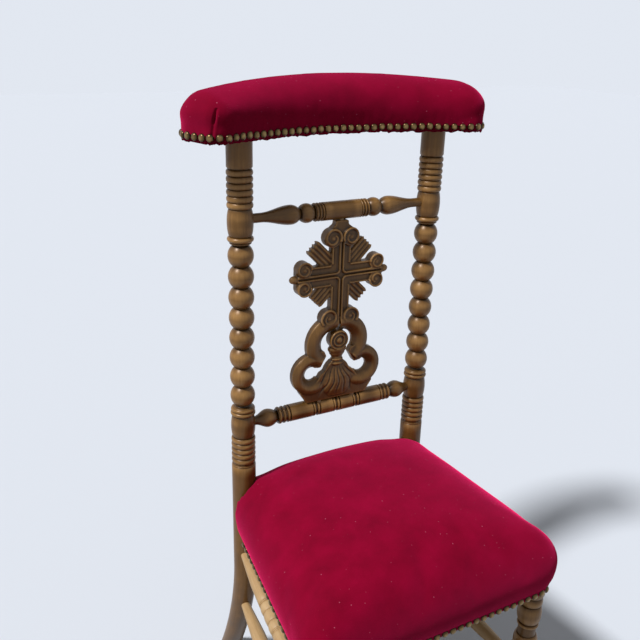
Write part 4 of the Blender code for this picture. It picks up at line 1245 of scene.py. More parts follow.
@dataclass
class CarvedSplat:
    """The carved cross on its pierced base.

    Places are (x, height above the splat's foot), and the right half is made first. Depths count from the
    posts' axes towards the rear.
    """

    frame: Frame
    forward: float = 0.004
    back: float = 0.0078
    crossing_drop: float = 0.0830
    ground: float = -0.0034
    overlap: float = 0.001
    stem_half: float = 0.0158
    foot_under_scroll: float = 0.012
    head_over_scroll: float = 0.006
    arm_half: float = 0.0165
    arm_past_scroll: float = 0.0125
    lip: float = 0.0015
    lip_proud: float = 0.0010
    lip_stop: float = 0.010
    bead: float = 0.0017
    bead_proud: float = 0.0024
    bead_stop: float = 0.002
    bead_gap: float = 0.0029
    bead_turn: float = 0.0062
    lobe_centre: Point2 = (0.0440, 0.0475)
    lobe_radii: tuple[float, float, float] = (0.0112, 0.0165, 0.0342)
    lobe_sweep: Point2 = (128.0, -140.0)
    lobe_fade: float = 60.0
    arch_centre: Point2 = (0.0070, 0.0940)
    arch_radii: tuple[float, float, float] = (0.0205, 0.0262, 0.0468)
    arch_sweep: Point2 = (-42.0, 98.5)
    band_crown: float = -0.0088
    band_edge: float = 0.0012
    band_span: Point2 = (0.12, 0.92)
    band_power: float = 0.8
    band_steps: int = 40
    cusp: tuple[Point2, ...] = (
        (0.0200, 0.0755), (0.0300, 0.0575), (0.0400, 0.0585), (0.0520, 0.0660), (0.0500, 0.0800),
        (0.0340, 0.0860), (0.0235, 0.0835),
    )
    cusp_front: float = -0.0042
    foot: tuple[Point2, ...] = (
        (-0.001, 0.0005), (0.0530, 0.0005), (0.0655, 0.0190), (0.0560, 0.0240), (0.0440, 0.0300),
        (0.0370, 0.0325), (0.0330, 0.0380), (0.0285, 0.0450), (0.0215, 0.0490), (0.0190, 0.0550),
        (0.0150, 0.0605), (0.0095, 0.0650), (-0.001, 0.0650),
    )
    foot_proud: float = 0.001
    neck: tuple[Point2, ...] = (
        (0.058, 0.0092), (0.0605, 0.0120), (0.0632, 0.0092), (0.0645, 0.0088), (0.0670, 0.0112),
        (0.0692, 0.0086), (0.0705, 0.0092),
    )
    neck_flatten: float = 0.75
    cup: tuple[Point2, ...] = (
        (0.069, 0.0088), (0.0735, 0.0108), (0.0770, 0.0136), (0.0790, 0.0134), (0.0805, 0.0148),
        (0.083, 0.0160), (0.0855, 0.0162), (0.088, 0.0140),
    )
    cup_depth: float = -0.0005
    cup_flatten: float = 0.55
    rosette_height: float = 0.1000
    rosette_radius: float = 0.0160
    rosette: tuple[Point2, ...] = (
        (0.0052, 0.0164), (0.0086, 0.0156), (0.0094, 0.0144), (0.0078, 0.0128), (0.0070, 0.0116),
        (0.0092, 0.0098), (0.0092, 0.0086), (0.0072, 0.0070), (0.0070, 0.0060), (0.0094, 0.0038),
        (0.0100, 0.0015),
    )
    base_scroll: Point2 = (0.0185, 0.1380)
    base_scroll_radius: float = 0.0150
    base_scroll_start: float = -40.0
    base_scroll_turns: float = 1.25
    arm_scroll: Point2 = (0.0615, 0.0142)
    arm_scroll_radius: float = 0.0130
    arm_scroll_start: float = 180.0
    top_scroll: Point2 = (0.0152, 0.0575)
    top_scroll_radius: float = 0.0150
    top_scroll_start: float = 205.0
    cross_scroll_turns: float = 1.2
    scroll_front: float = -0.0100
    top_neck: tuple[Point2, ...] = ((-0.001, -0.016), (0.0200, -0.010), (0.0165, 0.0), (0.0112, 0.0045))
    top_neck_half: float = 0.0100
    top_neck_proud: float = 0.002
    tip_reach: float = 0.0850
    tip_inset: float = 0.0085
    tip_depth: float = -0.0008
    tip_size: tuple[float, float, float] = (0.0080, 0.0058, 0.0062)
    scroll: ScrollForm = ScrollForm()
    ray: RayForm = RayForm()
    leaf: LeafForm = LeafForm()
    voxel: float = 0.00102
    hollow_spread: int = 12
    hollow_depth: float = 0.00060
    bm: BMesh = field(default_factory=bmesh.new)

    def box(self, low: Sequence[float], high: Sequence[float]) -> None:
        """Add a plain block between two corners.

        Args:
            low: Its low corner.
            high: Its high corner.
        """
        low, high = Vector(low), Vector(high)
        size = Matrix.Diagonal((*(high - low), 1))
        bmesh.ops.create_cube(self.bm, size=1.0, matrix=Matrix.Translation((low + high) / 2) @ size)

    def plate(self, outline: Sequence[Point2], front: float) -> None:
        """Add a plate of a given outline, from a front depth to the splat's back.

        Args:
            outline: Its corners.
            front: Depth of its front.
        """
        face = self.bm.faces.new([self.bm.verts.new((x, front, height)) for x, height in outline])
        grown = bmesh.ops.extrude_face_region(self.bm, geom=[face], use_keep_orig=True)
        moved = [item for item in grown["geom"] if isinstance(item, bmesh.types.BMVert)]
        bmesh.ops.translate(self.bm, verts=moved, vec=(0, self.back - front, 0))

    def disc(self, place: Point2, radius: float, front: float, taper: float) -> None:
        """Add a round boss that stands from the splat's back to a front depth.

        Args:
            place: Its centre.
            radius: Its radius at the back.
            front: Depth of its face.
            taper: The face's share of that radius.
        """
        turn = Matrix.Translation((place[0], (self.back + front) / 2, place[1]))
        bmesh.ops.create_cone(
            self.bm, cap_ends=True, segments=48, radius1=radius, radius2=radius * taper,
            depth=self.back - front, matrix=turn @ Matrix.Rotation(math.pi / 2, 4, "X"),
        )

    def turned(self, outline: Sequence[Point2], place: Vector, axis: str, flatten: float = 1.0) -> None:
        """Add a small turning.

        Args:
            outline: (place along the axis, radius) points.
            place: Where its axis starts.
            axis: "Z" for an upright one, "Y" for a round boss that faces the front.
            flatten: Its depth as a share of its width.
        """
        small = Turning(list(outline)).spun(32)
        turn = Matrix.Rotation(math.pi / 2, 4, "X") if axis == "Y" else Matrix.Identity(4)
        matrix = Matrix.Translation(place) @ Matrix.Diagonal((1, flatten, 1, 1)) @ turn
        bmesh.ops.transform(small, matrix=matrix, verts=small.verts)
        add_shape(self.bm, small)

    def rope(self, path: Sequence[Vector], radii: Sequence[float]) -> None:
        """Add a round bead along a path.

        Args:
            path: The points that it follows.
            radii: Its radius at each point.
        """
        last = len(path) - 1
        rings = []
        for i, (point, radius) in enumerate(zip(path, radii)):
            way = (path[min(i + 1, last)] - path[max(i - 1, 0)]).normalized()
            turn = Matrix.Translation(point) @ way.to_track_quat("Z", "Y").to_matrix().to_4x4()
            made = bmesh.ops.create_circle(
                self.bm, cap_ends=i in (0, last), segments=8, radius=radius, matrix=turn
            )
            rings.append(set(made["verts"]))
        for here, there in zip(rings, rings[1:]):
            edges = {edge for ring in (here, there) for vert in ring for edge in vert.link_edges
                     if edge.other_vert(vert) in ring}
            bmesh.ops.bridge_loops(self.bm, edges=list(edges))

    def lips(self, path: Sequence[Vector], radius: float) -> None:
        """Add a bead of one radius along a path."""
        self.rope(path, [radius] * len(path))

    def band(self, centre: Point2, radii: Sequence[float], sweep: Point2, fade: float = 0.0) -> None:
        """Add a half-round moulding bent round a piercing.

        Args:
            centre: The centre of the bend.
            radii: Radii of the piercing at the back, of its bevel's front edge, and of the outer edge.
            sweep: Angles of its ends in degrees, counted from +X towards +Z.
            fade: Degrees at its second end over which its crown sinks away.
        """
        middle = Vector((centre[0], 0, centre[1]))
        start, end = (math.radians(angle) for angle in sweep)
        out = Vector((math.cos(start), 0, math.sin(start)))
        section = [middle + out * radius + Vector((0, depth, 0)) for radius, depth in self.moulding(*radii)]
        before = len(self.bm.verts)
        verts, edges = wired(self.bm, section)
        made = bmesh.ops.spin(
            self.bm, geom=verts + edges, cent=middle, axis=(0, -1, 0), angle=end - start,
            steps=self.band_steps,
        )
        tail = [item for item in made["geom_last"] if isinstance(item, bmesh.types.BMEdge)]
        for ring in (edges, tail):
            bmesh.ops.edgeloop_fill(self.bm, edges=ring)
        if fade:
            self.bm.verts.ensure_lookup_table()
            last = Matrix.Rotation(end, 2) @ Vector((1, 0))
            for vert in self.bm.verts[before:]:
                away = Vector((vert.co.x - centre[0], vert.co.z - centre[1]))
                near = math.degrees(away.angle(last)) / fade
                if vert.co.y < self.ground and near < 1:
                    vert.co.y += (self.ground - vert.co.y) * (1 - near) ** 2

    def moulding(self, inner: float, bevel: float, outer: float, steps: int = 10) -> list[Point2]:
        """Section of a half-round band with a bevel towards its piercing.

        Args:
            inner: Radius of the piercing at the back.
            bevel: Radius of the bevel's front edge.
            outer: Radius of the outer edge.
            steps: Steps over its crown.

        Returns:
            (radius, depth) points.
        """
        low, high = self.band_span
        front = []
        for i in range(steps + 1):
            share = i / steps
            crown = math.sin(math.pi * (low + (high - low) * share)) ** self.band_power
            front.append((bevel + (outer - bevel) * share, self.band_crown * crown))
        return [(inner, self.back), (inner, self.band_edge)] + front + [(outer, self.back)]

    def volute(self, place: Point2, radius: float, start: float, turns: float) -> None:
        """Add a scroll: a sunken disc, and a thin rim that winds in towards its eye.

        Args:
            place: Its centre.
            radius: Its outer radius.
            start: Angle where the rim begins, in degrees.
            turns: Turns of the rim, negative for a clockwise one.
        """
        form = self.scroll
        rim = form.rim * radius
        front = self.scroll_front
        self.disc(place, radius - form.inset * rim, front + form.sunk * rim, form.taper)
        path, radii = [], []
        for i in range(form.steps + 1):
            share = i / form.steps
            angle = math.radians(start) + 2 * math.pi * turns * share
            wound = form.wind * max(0.0, share - form.wind_start) / (1 - form.wind_start)
            reach = (radius - rim) * (1 - wound)
            path.append(Vector((
                place[0] + reach * math.cos(angle), front + rim + form.fall * rim * share,
                place[1] + reach * math.sin(angle),
            )))
            radii.append(rim * (1.0 - form.thinning * share))
        self.rope(path, radii)
        eye = [(along * radius, wide * radius) for along, wide in form.eye]
        self.turned(eye, Vector((place[0], front + form.eye_sunk * rim, place[1])), "Y")

    def base_half(self) -> None:
        """Add the right half of the pierced base: lobe, arch, cusp, foot and scroll."""
        self.band(self.lobe_centre, self.lobe_radii, self.lobe_sweep, self.lobe_fade)
        self.band(self.arch_centre, self.arch_radii, self.arch_sweep)
        self.plate(self.cusp, self.cusp_front)
        self.plate(self.foot, self.ground - self.foot_proud)
        self.volute(
            self.base_scroll, self.base_scroll_radius, self.base_scroll_start, self.base_scroll_turns
        )

    def stand(self) -> None:
        """Add the leaf's swelling, the ringed neck, the cup and the rosette in it."""
        self.turned(self.leaf.outline, Vector((0, self.leaf.depth, 0)), "Z", self.leaf.flatten)
        self.turned(self.neck, Vector((0, 0, 0)), "Z", self.neck_flatten)
        self.turned(self.cup, Vector((0, self.cup_depth, 0)), "Z", self.cup_flatten)
        rings = ((-self.back, self.rosette_radius), *self.rosette)
        self.turned(rings, Vector((0, 0, self.rosette_height)), "Y")

    def cross_half(self, middle: float, top: float) -> None:
        """Add the right half of the cross: scrolls, rays, the neck at its head and the arm's tip.

        Args:
            middle: Height of the crossing.
            top: Height of the splat's top.
        """
        turns = self.cross_scroll_turns
        for rise in (-1, 1):
            place = (self.arm_scroll[0], middle + rise * self.arm_scroll[1])
            self.volute(place, self.arm_scroll_radius, self.arm_scroll_start, -turns * rise)
            self.rays(rise, middle)
        place = (self.top_scroll[0], middle + self.top_scroll[1])
        self.volute(place, self.top_scroll_radius, self.top_scroll_start, -turns)
        neck = middle + self.top_scroll[1] + self.top_scroll_radius
        outline = [(x, neck + rise) for x, rise in self.top_neck]
        outline += [(self.top_neck_half, top), (-self.overlap, top)]
        self.plate(outline, self.ground - self.top_neck_proud)
        tip = Vector((self.tip_reach - self.tip_inset, self.tip_depth, middle))
        bmesh.ops.create_icosphere(
            self.bm, subdivisions=3, radius=1.0,
            matrix=Matrix.Translation(tip) @ Matrix.Diagonal((*self.tip_size, 1)),
        )

    def beads(self, middle: float, foot: float, head: float, reach: float) -> None:
        """Add the right-hand lips, and the beads that turn the corners of the crossing.

        Args:
            middle: Height of the crossing.
            foot: Height of the stem's foot.
            head: Height of the stem's head.
            reach: Length of an arm.
        """
        gap, turn = self.bead_gap, self.bead_turn
        front = self.ground - self.bead_proud
        lip_front = self.ground - self.lip_proud
        end = reach - self.bead_stop
        for rise, stop in ((-1, foot), (1, head)):
            run = end - gap - turn
            path = [Vector((end - run * i / 16, front, middle + rise * gap)) for i in range(16)]
            for i in range(9):
                angle = 0.5 * math.pi * i / 8
                path.append(Vector((gap + turn - turn * math.sin(angle), front,
                                    middle + rise * (gap + turn - turn * math.cos(angle)))))
            climb = abs(stop - middle) - gap - turn
            path += [Vector((gap, front, middle + rise * (gap + turn + climb * i / 30)))
                     for i in range(1, 31)]
            self.lips(path, self.bead)
            edge = middle + rise * (self.arm_half - self.lip)
            inner = self.stem_half + self.overlap
            arm = reach - self.lip_stop - inner
            self.lips([Vector((inner + arm * i / 12, lip_front, edge)) for i in range(13)], self.lip)
            begin = middle + rise * (self.arm_half + self.overlap)
            aside = self.stem_half - self.lip
            self.lips([Vector((aside, lip_front, begin + (stop - begin) * i / 20)) for i in range(21)],
                      self.lip)

    def rays(self, rise: int, middle: float) -> None:
        """Add one bundle of ribbed rays, with pointed ends, in a right-hand corner of the cross.

        Args:
            rise: 1 for the upper corner, -1 for the lower one.
            middle: Height of the crossing.
        """
        form = self.ray
        along = Vector((1, 0, rise)).normalized()
        across = Vector((-along.z, 0, along.x))
        centre = Vector((0, form.depth, middle))
        half = form.half_share * form.pitch
        end = form.upper_length if rise > 0 else form.lower_length
        straight = end - form.shoulder * half - form.start
        places = [form.start + straight * k / form.steps for k in range(form.steps + 1)]
        places += [end - form.tip * half, end]
        radii = [half] * (form.steps + 1) + [share * half for share in form.tip_radii]
        shoulder = end - form.plate_shoulder * half
        flat = []
        for i in range(form.count):
            aside = (i - (form.count - 1) / 2) * form.pitch
            self.rope([centre + across * aside + along * place for place in places], radii)
            flat += [(shoulder, aside - half), (end, aside), (shoulder, aside + half)]
        flat += [(form.start, flat[-1][1]), (form.start, flat[0][1])]
        spots = [centre + along * place + across * aside for place, aside in flat]
        self.plate([(spot.x, spot.z) for spot in spots], 0.0)

    def flute(self, bm: BMesh) -> None:
        """Cut the veins of the leaf into its front.

        Args:
            bm: The carved skin.
        """
        form = self.leaf
        for vert in bm.verts:
            x, y, height = vert.co
            if y > form.front or not form.foot < height < form.head or abs(x) > form.wide:
                continue
            fan = math.atan2(x, form.apex - height) + form.wave * math.sin(height * form.wave_rate)
            fade = min(
                1.0, (form.head - height) / form.head_fade, (height - form.foot) / form.foot_fade,
                (form.wide - abs(x)) / form.side_fade,
            )
            vert.co.y += form.vein_depth * fade * max(0.0, math.cos(fan * form.vein_rate)) ** 2

    def build(self, finishes: Finishes) -> None:
        """Join all the mouldings into one carved surface, and mark its hollows for painted shade and its
        crowns for wear.

        Args:
            finishes: The chair's finishes.
        """
        low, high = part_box("cross_splat")
        top = high.z - low.z
        middle = top - self.crossing_drop
        foot = self.base_scroll[1] - self.foot_under_scroll
        head = middle + self.top_scroll[1] + self.head_over_scroll
        reach = self.arm_scroll[0] + self.arm_past_scroll
        self.base_half()
        self.cross_half(middle, top)
        self.beads(middle, foot, head, reach)
        half = self.bm.verts[:] + self.bm.edges[:] + self.bm.faces[:]
        bmesh.ops.mirror(self.bm, geom=half, axis="X", merge_dist=-1.0)
        self.box((-self.stem_half, self.ground, foot), (self.stem_half, self.back, head))
        self.box((-reach, self.ground, middle - self.arm_half), (reach, self.back, middle + self.arm_half))
        self.stand()
        bmesh.ops.recalc_face_normals(self.bm, faces=self.bm.faces)
        bm = fused(self.bm, self.voxel)
        smoothed(bm, bm.verts, 1)
        self.flute(bm)
        grain = bm.verts.layers.float_vector.new("grain")
        for vert in bm.verts:
            vert[grain] = vert.co
        # Relief for the finish: painted shade in the hollows, wear on the crowns.
        relief_for_shade_and_wear(bm, self.hollow_spread, self.hollow_depth)
        bmesh.ops.translate(bm, vec=(0, self.frame.post_y - self.forward, low.z), verts=bm.verts)
        dress("carved_splat", bm, finishes.bronzed, ["cross_splat"], SMOOTH_ALL)


def add_shape(bm: BMesh, extra: BMesh) -> None:
    """Add a copy of one bmesh to another, and free it.

    Args:
        bm: The bmesh that grows.
        extra: The bmesh that is added.
    """
    mesh = bpy.data.meshes.new("extra")
    extra.to_mesh(mesh)
    extra.free()
    bm.from_mesh(mesh)
    bpy.data.meshes.remove(mesh)


def fused(bm: BMesh, voxel: float) -> BMesh:
    """Fuse overlapping closed shapes into one even skin.

    Args:
        bm: The shapes, which are freed.
        voxel: Size of the skin's faces.

    Returns:
        The skin.
    """
    shapes = as_object("shapes", bm)
    bm.free()
    remesh = shapes.modifiers.new("skin", "REMESH")
    remesh.mode = "VOXEL"
    remesh.voxel_size = voxel
    skin = evaluated(shapes)
    discard(shapes)
    return skin


def relief_for_shade_and_wear(bm: BMesh, spread: int, depth: float, plain: float = 0.55, gain: float = 0.5) -> None:
    """Write the layer "relief": 0 in hollows, 1 on what stands proud. The wood finish turns it into painted
    shade in the hollows and wear on what stands proud.

    Args:
        bm: An evenly meshed shape.
        spread: Rounds of smoothing that a hollow is measured against.
        depth: Depth of a full hollow.
        plain: The layer's value on a plain surface.
        gain: How much a full hollow changes it.
    """
    relief = bm.verts.layers.float.new("relief")
    bm.normal_update()
    carved = [(vert.co.copy(), vert.normal.copy()) for vert in bm.verts]
    smoothed(bm, bm.verts, spread)
    for vert, (place, normal) in zip(bm.verts, carved):
        proud = (place - vert.co).dot(normal) / depth
        vert[relief] = min(1.0, max(0.0, plain + gain * proud))
        vert.co = place


def rounded(
    corners: Sequence[Point2], radii: Sequence[float], steps: int, long_edge: float = 0.05
) -> list[Vector]:
    """A plan with its corners rounded.

    Args:
        corners: Its corners, counterclockwise.
        radii: Radius of each corner.
        steps: Points on each rounded corner, and a third of those on a long straight edge.
        long_edge: Straight edges longer than this get points along them.

    Returns:
        The plan's points.
    """
    points = []
    count = len(corners)
    for i in range(count):
        here = Vector(corners[i])
        before = (Vector(corners[i - 1]) - here).normalized()
        after = (Vector(corners[(i + 1) % count]) - here).normalized()
        half = before.angle(after) / 2
        centre = here + (before + after).normalized() * radii[i] / math.sin(half)
        start = here + before * radii[i] / math.tan(half) - centre
        sweep = math.pi - 2 * half
        for k in range(steps + 1):
            points.append(centre + Matrix.Rotation(sweep * k / steps, 2) @ start)
    filled = []
    for a, b in zip(points, points[1:] + points[:1]):
        filled.append(a)
        if (b - a).length > long_edge:
            filled += [a.lerp(b, k / (3 * steps)) for k in range(1, 3 * steps)]
    return filled


@dataclass(frozen=True)
class Station:
    """One loop of a pad: how far it is drawn in, how high it is, and its share of the pad's shaping."""

    draw: float
    rise: float
    shape: float


def eased(stations: Sequence[Station], steps: int) -> list[Station]:
    """A smooth run of stations through the given ones (Catmull-Rom).

    Args:
        stations: The given stations.
        steps: Stations per span.

    Returns:
        The run.
    """
    rows = [Vector((s.draw, s.rise, s.shape)) for s in stations]
    run = []
    for i in range(len(rows) - 1):
        a, b, c, d = rows[max(i - 1, 0)], rows[i], rows[i + 1], rows[min(i + 2, len(rows) - 1)]
        for k in range(steps):
            t = k / steps
            run.append(Station(*(0.5 * (
                2 * b + (c - a) * t + (2 * a - 5 * b + 4 * c - d) * t ** 2 + (3 * b - a - 3 * c + d) * t ** 3
            ))))
    return run + [stations[-1]]


def lofted(loops: Sequence[Sequence[Vector]]) -> BMesh:
    """A closed shape through loops of equally many points.

    Args:
        loops: The loops, from one end to the other.

    Returns:
        The shape.
    """
    bm = bmesh.new()
    rings = [wired(bm, loop)[1] for loop in loops]
    for here, there in zip(rings, rings[1:]):
        bmesh.ops.bridge_loops(bm, edges=here + there)
    for ring in (rings[0], rings[-1]):
        bmesh.ops.edgeloop_fill(bm, edges=ring)
    bmesh.ops.recalc_face_normals(bm, faces=bm.faces)
    return bm


@dataclass(frozen=True)
class Stuffing:
    """Settings of the cloth that blows a pad up. No point moves further than the cap."""

    cap: float
    pressure: float = 4.0
    quality: int = 6
    mass: float = 0.3
    air_damping: float = 5.0
    stretch: float = 18.0
    shear: float = 8.0
    bending: float = 1.0
    frames: int = 20

    def inflate(self, bm: BMesh, held: Callable[[Vector], bool]) -> None:
        """Blow a pad up with Blender's cloth, in place.

        Args:
            bm: The pad's skin.
            held: Says which points are nailed down.
        """
        pad = as_object("pad", bm)
        group = pad.vertex_groups.new(name="held")
        group.add([v.index for v in pad.data.vertices if held(v.co)], 1.0, "REPLACE")
        cloth = pad.modifiers.new("stuffing", "CLOTH")
        settings = cloth.settings
        settings.quality = self.quality
        settings.mass = self.mass
        settings.air_damping = self.air_damping
        settings.tension_stiffness = self.stretch
        settings.compression_stiffness = self.stretch
        settings.shear_stiffness = self.shear
        settings.bending_stiffness = self.bending
        settings.use_pressure = True
        settings.uniform_pressure_force = self.pressure
        settings.effector_weights.gravity = 0.0
        settings.vertex_group_mass = group.name
        scene = bpy.context.scene
        cloth.point_cache.frame_start, cloth.point_cache.frame_end = 1, self.frames
        for frame in range(1, self.frames + 1):
            scene.frame_set(frame)
        blown = pad.evaluated_get(bpy.context.evaluated_depsgraph_get()).data
        for vert, moved in zip(bm.verts, blown.vertices):
            step = moved.co - vert.co
            vert.co += step * min(1.0, self.cap / max(step.length, MERGE))
        discard(pad)
        scene.frame_set(1)


def settle(
    bm: BMesh, above: float, rounds: int, tucked: Callable[[Vector], bool] | None = None,
    shared_rounds: int = 4,
) -> None:
    """Smooth the part of a pad that lies above a height.

    Args:
        bm: The pad's skin.
        above: The height.
        rounds: Rounds of smoothing.
        tucked: Says which points are smoothed only in the first rounds.
        shared_rounds: How many rounds those are.
    """
    loose = [vert for vert in bm.verts if vert.co.z > above]
    free = [vert for vert in loose if tucked is None or not tucked(vert.co)]
    smoothed(bm, loose, shared_rounds)
    smoothed(bm, free, rounds - shared_rounds)


def opened(
    bm: BMesh, underside: float, thickness: float, facing_down: float = -0.6, near: float = 0.004
) -> None:
    """Take away a pad's underside and give its cover a cloth's thickness.

    Args:
        bm: The pad's skin.
        underside: Height of its hem.
        thickness: Thickness of the cloth.
        facing_down: Faces whose normal's height is below this belong to the underside.
        near: How far over the hem such a face may lie.
    """
    below = [face for face in bm.faces
             if face.normal.z < facing_down and face.calc_center_median().z < underside + near]
    bmesh.ops.delete(bm, geom=below, context="FACES")
    for edge in bm.edges:
        if edge.is_boundary:
            for vert in edge.verts:
                vert.co.z = underside
    bmesh.ops.solidify(bm, geom=bm.faces, thickness=thickness)
    bmesh.ops.recalc_face_normals(bm, faces=bm.faces)


@dataclass
class NailRow:
    """A row of domed nail heads along a plan line."""

    radius: float = 0.0054
    height: float = 0.0036
    lift: float = 0.0002
    jitter: float = 0.0005
    sizes: Point2 = (0.94, 1.02)
    tilt: float = 0.06
    skirt: float = -0.1
    seed: int = 7

    def stations(self, line: Sequence[Vector], closed: bool, spacing: float) -> list[tuple[Vector, Vector]]:
        """Middles of the nails, and the way that each faces.

        Args:
            line: The plan line, with the outside on its right.
            closed: Whether its last point joins its first.
            spacing: About how far apart the nails are.

        Returns:
            Pairs of a place and an outward direction, in plan.
        """
        spans = list(zip(line, list(line[1:]) + [line[0]] if closed else line[1:]))
        total = sum((b - a).length for a, b in spans)
        count = round(total / spacing)
        made = []
        walked = 0.0
        target = 0.5 * total / count
        for a, b in spans:
            length = (b - a).length
            while target <= walked + length and len(made) < count:
                way = (b - a).normalized()
                made.append((a.lerp(b, (target - walked) / length), Vector((way.y, -way.x))))
                target += total / count
            walked += length
        return made

    def build(
        self, name: str, line: Sequence[Vector], closed: bool, spacing: float, height: float,
        finishes: Finishes, node: str,
    ) -> None:
        """Drive the nails of one row.

        Args:
            name: The piece's name.
            line: The plan line of the row.
            closed: Whether the row goes all the way round.
            spacing: About how far apart the nails are.
            height: Height of the row.
            finishes: The chair's finishes.
            node: The CAD node that the row stands for.
        """
        chance = random.Random(self.seed)
        bm = bmesh.new()
        relief = bm.verts.layers.float.new("relief")
        for place, outward in self.stations(line, closed, spacing):
            wander, _ = (chance.uniform(-self.jitter, self.jitter) for _ in range(2))
            size = self.radius * chance.uniform(*self.sizes)
            facing = Vector((*outward, chance.uniform(-self.tilt, self.tilt))).normalized()
            spot = Vector((*(place + outward * self.lift), height + wander))
            turn = facing.to_track_quat("Z", "Y").to_matrix().to_4x4()
            made = bmesh.ops.create_uvsphere(bm, u_segments=12, v_segments=8, radius=1.0)["verts"]
            for vert in made:
                # The relief rises from each head's rim to its crown: painted shade at the rim, a painted
                # highlight on the crown.
                vert[relief] = max(0.0, vert.co.z)
            away = [vert for vert in made if vert.co.z < self.skirt]
            kept = [vert for vert in made if vert.co.z >= self.skirt]
            bmesh.ops.delete(bm, geom=away, context="VERTS")
            shape = Matrix.Diagonal((size, size, self.height, 1))
            bmesh.ops.transform(bm, matrix=Matrix.Translation(spot) @ turn @ shape, verts=kept)
        bmesh.ops.holes_fill(bm, edges=[edge for edge in bm.edges if edge.is_boundary])
        bmesh.ops.recalc_face_normals(bm, faces=bm.faces)
        dress(name, bm, finishes.brass, [node], 60.0)


